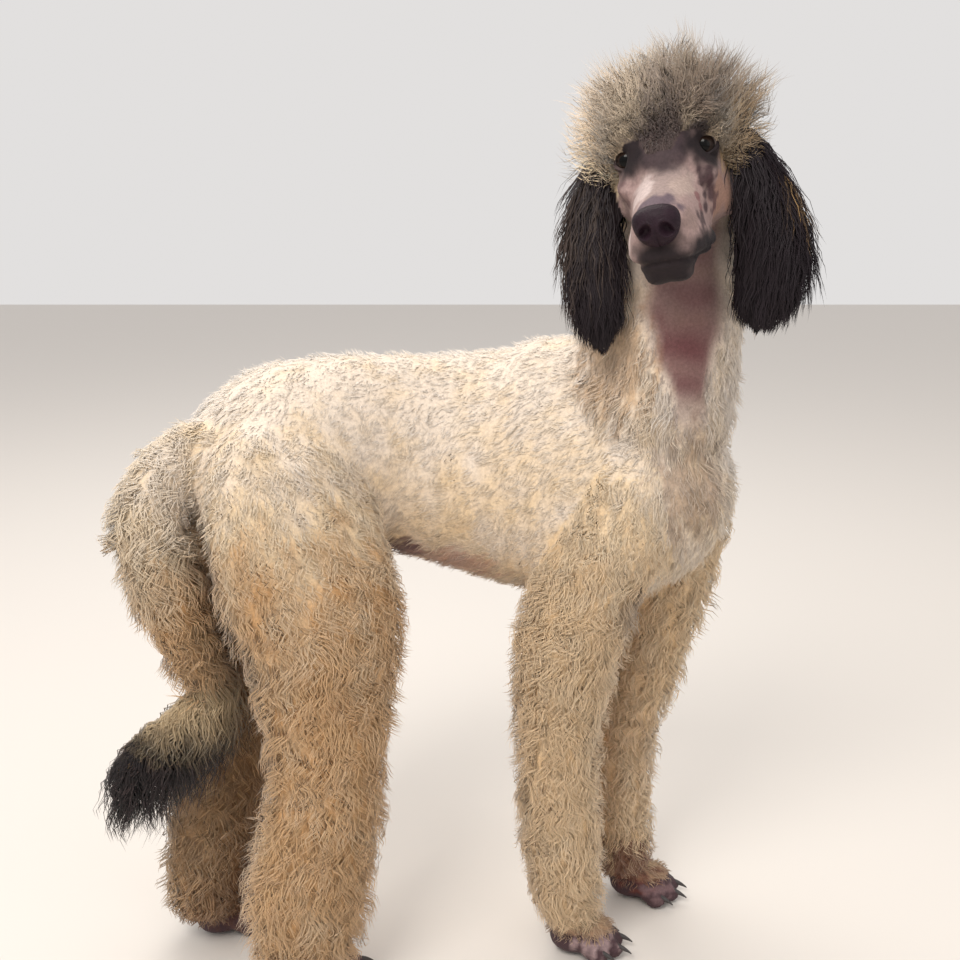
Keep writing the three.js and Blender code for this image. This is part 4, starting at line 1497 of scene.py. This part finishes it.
class Nodes:
    """A small helper that builds one material's nodes."""

    def __init__(self, name: str) -> None:
        """Starts a material with one surface shader.

        Args:
            name: the material's name.
        """
        self.material = bpy.data.materials.new(name)
        self.material.use_nodes = True
        self.tree = self.material.node_tree
        self.surface = self.tree.nodes["Principled BSDF"]

    def add(self, kind: str, **values: object) -> bpy.types.Node:
        """Adds a node and sets its properties and sockets.

        Args:
            kind: the node's type.
            values: properties, or sockets by name with spaces as underscores.

        Returns:
            The node.
        """
        node = self.tree.nodes.new(kind)
        for key, value in values.items():
            if hasattr(node, key):
                setattr(node, key, value)
            else:
                node.inputs[key.replace("_", " ")].default_value = value
        return node

    def link(self, source: bpy.types.NodeSocket, target: bpy.types.NodeSocket) -> None:
        """Joins two sockets."""
        self.tree.links.new(source, target)

    def noise(self, scale: float, detail: float = 3.0) -> bpy.types.Node:
        """A noise on the piece's own coordinates."""
        place = self.add("ShaderNodeTexCoord")
        made = self.add("ShaderNodeTexNoise", Scale=scale, Detail=detail)
        self.link(place.outputs["Object"], made.inputs["Vector"])
        return made

    def painted(self, low: float, high: float, scale: float) -> None:
        """Colours the surface from its coat attribute, varied by noise.

        Args:
            low: darkest share of the colour.
            high: lightest share.
            scale: scale of the noise.
        """
        layer = self.add("ShaderNodeAttribute", attribute_name="coat")
        vary = self.add("ShaderNodeMapRange", From_Min=0.3, From_Max=0.7, To_Min=low, To_Max=high)
        self.link(self.noise(scale).outputs["Fac"], vary.inputs["Value"])
        scaled = self.add("ShaderNodeVectorMath", operation="SCALE")
        self.link(layer.outputs["Color"], scaled.inputs[0])
        self.link(vary.outputs["Result"], scaled.inputs["Scale"])
        self.link(scaled.outputs["Vector"], self.surface.inputs["Base Color"])

    def streaked(self, noise: bpy.types.Node, dark: tuple, light: tuple) -> None:
        """Colours the surface from dark to light along a noise.

        Args:
            noise: the noise.
            dark: darkest colour, in linear light.
            light: lightest colour.
        """
        ramp = self.add("ShaderNodeValToRGB")
        ramp.color_ramp.elements[0].color = dark
        ramp.color_ramp.elements[1].color = light
        self.link(noise.outputs["Fac"], ramp.inputs["Fac"])
        self.link(ramp.outputs["Color"], self.surface.inputs["Base Color"])

    def bump(self, source: bpy.types.NodeSocket, strength: float, distance: float) -> None:
        """Raises the surface by a height.

        Args:
            source: the height.
            strength: share of the effect.
            distance: height in metres.
        """
        made = self.add("ShaderNodeBump", Strength=strength, Distance=distance)
        self.link(source, made.inputs["Height"])
        self.link(made.outputs["Normal"], self.surface.inputs["Normal"])

    def set(self, **values: object) -> None:
        """Sets the surface shader's own sockets, by name with spaces as underscores."""
        for key, value in values.items():
            self.surface.inputs[key.replace("_", " ")].default_value = value


@dataclass(frozen=True)
class CoatFinish:
    """Soft hair, its colour from the coat attribute.

    Args:
        name: the material's name.
        roughness: how matt the hair is.
        sheen: strength of the soft light at its edges.
        specular: strength of its shine.
        subsurface: share of the light that goes through it.
        dark: darkest share of its colour.
        light: lightest share.
        spots: scale of the change between the two.
    """

    name: str
    roughness: float = 0.75
    sheen: float = 0.2
    specular: float = 0.35
    subsurface: float = 0.0
    dark: float = 0.9
    light: float = 1.08
    spots: float = 160.0

    def make(self) -> bpy.types.Material:
        """The finish as a material."""
        nodes = Nodes(self.name)
        nodes.painted(self.dark, self.light, self.spots)
        nodes.set(Roughness=self.roughness, Sheen_Weight=self.sheen, Sheen_Roughness=0.5,
                  Specular_IOR_Level=self.specular, Subsurface_Weight=self.subsurface,
                  Subsurface_Radius=(0.010, 0.008, 0.006), Subsurface_Scale=1.0)
        nodes.bump(nodes.noise(1400.0, 2.0).outputs["Fac"], 0.25, 0.0006)
        return nodes.material


@dataclass(frozen=True)
class SkinFinish:
    """Skin with very short hair.

    Args:
        name: the material's name.
        dark: darkest share of its colour.
        light: lightest share.
        spots: scale of the change between the two.
    """

    name: str = "shaved_skin"
    dark: float = 0.82
    light: float = 1.12
    spots: float = 420.0

    def make(self) -> bpy.types.Material:
        """The finish as a material."""
        nodes = Nodes(self.name)
        nodes.painted(self.dark, self.light, self.spots)
        nodes.set(Roughness=0.7, Sheen_Weight=0.03, Sheen_Roughness=0.5, Specular_IOR_Level=0.2)
        nodes.bump(nodes.noise(1500.0, 4.0).outputs["Fac"], 0.35, 0.0008)
        return nodes.material


@dataclass(frozen=True)
class NoseFinish:
    """Black pebbled leather, slightly moist.

    Args:
        name: the material's name.
        dark: its darkest colour, in linear light.
        light: its lightest colour.
        pebbles: scale of the pebbles.
    """

    name: str = "nose_leather"
    dark: tuple = (0.008, 0.003, 0.006, 1)
    light: tuple = (0.028, 0.013, 0.021, 1)
    pebbles: float = 780.0

    def make(self) -> bpy.types.Material:
        """The finish as a material."""
        nodes = Nodes(self.name)
        place = nodes.add("ShaderNodeTexCoord")
        cells = nodes.add("ShaderNodeTexVoronoi", Scale=self.pebbles)
        nodes.link(place.outputs["Object"], cells.inputs["Vector"])
        nodes.streaked(nodes.noise(200.0), self.dark, self.light)
        nodes.set(Roughness=0.55, Specular_IOR_Level=0.14, Coat_Weight=0.03, Coat_Roughness=0.3)
        nodes.bump(cells.outputs["Distance"], 0.5, 0.0007)
        return nodes.material


@dataclass(frozen=True)
class EyeFinish:
    """A very dark brown, wet eye.

    Args:
        name: the material's name.
        stops: how far out each colour lies, from pupil over iris and rim to the white, and the
            colour in linear light.
    """

    name: str = "eye_gloss"
    stops: tuple = ((0.0, (0.001, 0.001, 0.001, 1)), (0.30, (0.001, 0.001, 0.001, 1)),
                    (0.34, (0.016, 0.008, 0.005, 1)), (0.60, (0.010, 0.005, 0.004, 1)),
                    (0.68, (0.003, 0.002, 0.002, 1)), (0.80, (0.16, 0.13, 0.12, 1)),
                    (1.0, (0.2, 0.13, 0.12, 1)))

    def make(self) -> bpy.types.Material:
        """The finish as a material."""
        nodes = Nodes(self.name)
        gaze = nodes.add("ShaderNodeAttribute", attribute_name="gaze")
        ramp = nodes.add("ShaderNodeValToRGB")
        ramp.color_ramp.elements[0].color = self.stops[0][1]
        ramp.color_ramp.elements[1].position = 1.0
        ramp.color_ramp.elements[1].color = self.stops[-1][1]
        for position, color in self.stops[1:-1]:
            ramp.color_ramp.elements.new(position).color = color
        nodes.link(gaze.outputs["Fac"], ramp.inputs["Fac"])
        nodes.link(ramp.outputs["Color"], nodes.surface.inputs["Base Color"])
        nodes.set(Roughness=0.25, Specular_IOR_Level=0.05, Coat_Weight=0.22, Coat_Roughness=0.03)
        nodes.bump(nodes.noise(900.0).outputs["Fac"], 0.02, 0.0002)
        return nodes.material


@dataclass(frozen=True)
class ClawFinish:
    """Black horn, paler in fine streaks.

    Args:
        name: the material's name.
        dark: its darkest colour, in linear light.
        light: its lightest colour.
    """

    name: str = "claw_horn"
    dark: tuple = (0.010, 0.008, 0.008, 1)
    light: tuple = (0.06, 0.05, 0.048, 1)

    def make(self) -> bpy.types.Material:
        """The finish as a material."""
        nodes = Nodes(self.name)
        nodes.streaked(nodes.noise(380.0, 5.0), self.dark, self.light)
        nodes.set(Roughness=0.35, Coat_Weight=0.2)
        nodes.bump(nodes.noise(900.0).outputs["Fac"], 0.2, 0.0003)
        return nodes.material


@dataclass
class Eye:
    """One eyeball with a raised cornea.

    Args:
        side: left or right.
        sign: 1 for left, -1 for right.
        radius: radius of the ball.
        bulge: how far the cornea stands out.
        cornea: how far round from the middle the cornea reaches, in radians.
        white: the same for where the white of the eye is palest.
    """

    side: str
    sign: int
    radius: float = 11.3
    bulge: float = 1.1
    cornea: float = 0.62 * math.pi / 2
    white: float = 1.25

    def build(self) -> bpy.types.Object:
        """The eyeball, still in millimetres."""
        bm = bmesh.new()
        bmesh.ops.create_uvsphere(bm, u_segments=56, v_segments=40, radius=self.radius)
        look = Vector(FaceCarving().look(self.sign))
        turn = Vector((0, 0, 1)).rotation_difference(look).to_matrix().to_4x4()
        mesh = bpy.data.meshes.new("eyeball_" + self.side)
        angles = []
        for vert in bm.verts:
            angle = vert.co.angle(Vector((0, 0, 1)))
            angles.append(angle)
            rise = math.cos(min(angle / self.cornea, 1) * math.pi / 2)
            vert.co *= 1 + self.bulge / self.radius * max(0.0, rise)
        bm.to_mesh(mesh)
        bm.free()
        gaze = mesh.attributes.new("gaze", "FLOAT", "POINT")
        gaze.data.foreach_set("value", [angle / self.white for angle in angles])
        mesh.transform(HEAD @ Matrix.Translation((EYE_X, self.sign * EYE_Y, 0)) @ turn)
        return linked("eyeball_" + self.side, mesh)


@dataclass
class Nose:
    """The nose leather with its nostrils.

    Args:
        half: half sizes.
        square: 1 for a round pad, less for a squarer one.
        slope: how far its lower front lies back.
        nostril: how deep each nostril goes.
        nostril_at: place of a nostril, to the side and up.
        nostril_half: its half sizes.
        slit: how deep the slit beside it goes.
        cleft: how deep the groove down the middle goes.
        rim: how far the wing of a nostril stands out.
    """

    half: tuple = NOSE_HALF
    square: float = 0.84
    slope: float = 2.2
    nostril: float = 7.0
    nostril_at: tuple = (8.2, -1.5)
    nostril_half: tuple = (4.3, 4.6)
    slit: float = 3.0
    cleft: float = 1.3
    rim: float = 0.8

    def build(self) -> bpy.types.Object:
        """The nose, still in millimetres."""
        bm = bmesh.new()
        bmesh.ops.create_icosphere(bm, subdivisions=6, radius=1)
        for vert in bm.verts:
            x, y, z = (math.copysign(abs(c) ** self.square, c) for c in vert.co)
            front = max(0.0, x)
            wide = 0.96 + 0.16 * z
            place = Vector((x * self.half[0], y * self.half[1] * wide, z * self.half[2]))
            aside = abs(place.y)
            across = (aside - self.nostril_at[0]) / self.nostril_half[0]
            up = (place.z - self.nostril_at[1] + 0.25 * (aside - 8)) / self.nostril_half[1]
            hole = math.hypot(across, up)
            press = self.nostril * math.exp(-hole ** 3)
            press += self.slit * math.exp(-((place.z + 5.0) / 2.0) ** 2 - ((aside - 14.0) / 4.0) ** 2)
            press += self.cleft * math.exp(-(aside / 1.1) ** 2) * max(0.0, -place.z + 4) / 14
            press -= self.rim * math.exp(-((hole - 1.45) / 0.3) ** 2)
            place.x -= self.slope * front * max(0.0, -z) ** 1.5 + press * min(1.0, front * 2)
            vert.co = place
        mesh = bpy.data.meshes.new("nose_pad")
        bm.to_mesh(mesh)
        bm.free()
        mesh.transform(HEAD @ Matrix.Translation(NOSE_AT))
        return linked("nose_pad", mesh)


@dataclass
class Claw:
    """One curved claw.

    Args:
        paw: the paw's name.
        toe: number of the toe, from 1.
        length: length from its root.
        radius: radius at its root.
        slim: share of its height that it is wide.
        taper: share of its radius that it loses to the tip.
        bend: radius of its curve downwards.
        root: place of its root, forward of the toe's place and up.
        droop: how far it points down, in degrees.
    """

    paw: str
    toe: int
    length: float = 17.0
    radius: float = 3.5
    slim: float = 0.82
    taper: float = 0.82
    bend: float = 27.5
    root: tuple = (8.5, 15.4)
    droop: float = 6.0

    def build(self) -> bpy.types.Object:
        """The claw, still in millimetres."""
        bm = bmesh.new()
        bmesh.ops.create_uvsphere(bm, u_segments=14, v_segments=18, radius=1)
        for vert in bm.verts:
            s = (1 + vert.co.z) / 2
            slope = max(math.sqrt(1 - vert.co.z**2), 0.35)
            thick = self.radius * (1 - self.taper * s**1.4) / slope
            along = s * self.length
            drop = along * along / (2 * self.bend)
            vert.co = (along, vert.co.x * thick * self.slim, vert.co.y * thick - drop)
        bmesh.ops.recalc_face_normals(bm, faces=bm.faces)
        mesh = bpy.data.meshes.new(self.name())
        bm.to_mesh(mesh)
        bm.free()
        x, y, splay = TOES[self.toe - 1]
        at = Matrix.Translation((x + self.root[0], y, self.root[1]))
        mesh.transform(paw_frame(self.paw) @ turned(splay) @ at @ turned(0, self.droop))
        return linked(self.name(), mesh)

    def name(self) -> str:
        """The piece's name."""
        return f"claw_{self.paw}_{self.toe}"


def dress(piece: bpy.types.Object, material: bpy.types.Material, slot: str, *solids: str) -> None:
    """Puts a piece into its final frame, finishes it and hides the solids that it replaces.

    Args:
        piece: the piece, in millimetres.
        material: its finish.
        slot: the record's slot for its finish; not used.
        solids: the solids that it replaces.
    """
    mesh = piece.data
    mesh.transform(to_solids_frame())
    mesh.polygons.foreach_set("use_smooth", [True] * len(mesh.polygons))
    mesh.update()
    mesh.materials.clear()
    mesh.materials.append(material)
    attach(piece, "root")
    if solids:
        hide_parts(*solids)
    LOG.info("%s: %d faces", piece.name, len(mesh.polygons))


FLESH = ("head", "jaw", "neck", "topknot", "ear_left", "ear_right", "tail", "tail_end", "rump",
         "loin", "chest", *(f"{leg}_{part}" for leg in PAWS for part in ("upper", "lower", "paw")))

FLEECE_SLOT = "cream_coat"
COAT_SLOTS = {
    "coat_crown": "topknot_hair",
    "coat_ear_left": "ear_hair",
    "coat_ear_right": "ear_hair",
    "coat_tail_end": "tail_fringe",
    "coat_face": "face_skin",
    "coat_paws": "paw_skin",
}


@dataclass
class Poodle:
    """The dog: its skin, its coat, its eyes, its nose and its claws.

    Args:
        shade: share of its colour that the skin keeps under long hair.
    """

    shade: float = 0.85

    def build(self) -> None:
        """Builds and dresses every piece, from the skin outwards."""
        skin = Skin().build()
        ground = SkinField(skin)
        self.paint_skin(skin.data, ground)
        self.grow_coat(ground)
        dress(skin, SkinFinish().make(), FLEECE_SLOT, *FLESH)
        eye_finish = EyeFinish().make()
        for side, sign in (("left", 1), ("right", -1)):
            dress(Eye(side, sign).build(), eye_finish, "eye", "eye_" + side)
        dress(Nose().build(), NoseFinish().make(), "nose_leather", "nose")
        horn = ClawFinish().make()
        for paw in PAWS:
            for toe in range(1, len(TOES) + 1):
                dress(Claw(paw, toe).build(), horn, "claw", f"{paw}_claw_{toe}")

    def paint_skin(self, mesh: bpy.types.Mesh, ground: SkinField) -> None:
        """Gives the skin the colours of the coat that grows on it, with painted shade where long hair
        covers it.

        Args:
            mesh: the skin.
            ground: its places and regions.
        """
        colors = np.ones((len(mesh.vertices), 4))
        colors[:, :3] = paint(ground.places, ground.region)
        covered = ~np.isin(ground.region, numbers((Region.FACE, Region.PAW)))
        # painted shade: skin under long hair darker than the coat over it
        colors[covered, :3] *= self.shade
        layer = mesh.color_attributes.new("coat", "FLOAT_COLOR", "POINT")
        layer.data.foreach_set("color", colors.ravel())

    def grow_coat(self, ground: SkinField) -> None:
        """Grows and dresses the pieces of the coat.

        Args:
            ground: the skin's places and regions.
        """
        fleece = CoatFinish("soft_fleece", subsurface=0.3).make()
        curls = CoatFinish("topknot_curls", subsurface=0.08).make()
        dark = CoatFinish("ear_hair", roughness=0.48, sheen=0.0, specular=0.22).make()
        short = CoatFinish("short_hair", roughness=0.8, sheen=0.03, specular=0.15).make()
        finishes = {"coat_ear_left": dark, "coat_ear_right": dark, "coat_face": short,
                    "coat_crown": curls, "coat_wisps": curls}
        for name, (region, style) in STYLES.items():
            piece = Coat(name, region, style).build(ground)
            dress(piece, finishes.get(name, fleece), COAT_SLOTS.get(name, FLEECE_SLOT))


@dataclass
class Studio:
    """Plain pale floor, soft lights and the camera.

    Args:
        floor_half: half width of the floor.
        floor_color: its colour, in linear light.
        sky: strength of the even light from all round.
        lamps: name, place, power and width of each soft light.
        aim: where the lights point.
    """

    floor_half: float = 6.0
    floor_color: tuple = (0.70, 0.66, 0.62, 1)
    sky: float = 0.8
    lamps: tuple = (("key", (-0.8, -1.7, 2.6), 52.0, 1.1), ("fill", (1.4, -1.7, 1.3), 6.0, 1.6),
                    ("back", (-0.5, 1.2, 2.6), 34.0, 1.6))
    aim: tuple = (0.0, 0.0, 0.45)

    def build(self) -> None:
        """Builds the floor, the lights and the camera."""
        self.floor()
        self.lights()
        self.camera()

    def floor(self) -> None:
        """Lays the floor."""
        bm = bmesh.new()
        bmesh.ops.create_grid(bm, x_segments=1, y_segments=1, size=self.floor_half)
        mesh = bpy.data.meshes.new("studio_floor")
        bm.to_mesh(mesh)
        bm.free()
        floor = linked("studio_floor", mesh)
        nodes = Nodes("pale_floor")
        nodes.set(Base_Color=self.floor_color, Roughness=0.7)
        floor.data.materials.append(nodes.material)

    def lights(self) -> None:
        """Hangs soft lights and an even sky."""
        world = bpy.data.worlds.new("studio_sky")
        world.use_nodes = True
        light = world.node_tree.nodes["Background"].inputs
        light["Color"].default_value = (0.95, 0.93, 0.92, 1)
        light["Strength"].default_value = self.sky
        bpy.context.scene.world = world
        for name, at, power, size in self.lamps:
            data = bpy.data.lights.new(name, "AREA")
            data.energy = power
            data.size = size
            data.color = (1.0, 0.96, 0.90)
            lamp = bpy.data.objects.new(name, data)
            bpy.context.scene.collection.objects.link(lamp)
            lamp.location = at
            way = Vector(self.aim) - Vector(at)
            lamp.rotation_euler = way.to_track_quat("-Z", "Y").to_euler()

    def camera(self) -> None:
        """Sets the camera at the photograph's viewpoint."""
        data = bpy.data.cameras.new("camera")
        data.sensor_width = 36.0
        data.lens = data.sensor_width * FOCAL_SHARE
        data.clip_start = 0.05
        made = bpy.data.objects.new("camera", data)
        bpy.context.scene.collection.objects.link(made)
        made.location = to_solids_frame() @ Vector(CAMERA_AT)
        made.rotation_euler = Euler((math.radians(90 - CAMERA_PITCH), 0, 0))
        bpy.context.scene.camera = made


def main() -> None:
    """Builds the dog and its studio, and notes the sizes."""
    logging.basicConfig(level=logging.INFO, format="%(message)s")
    Poodle().build()
    bpy.context.scene.view_settings.view_transform = "Standard"
    Studio().build()


if __name__ == "__main__":
    main()
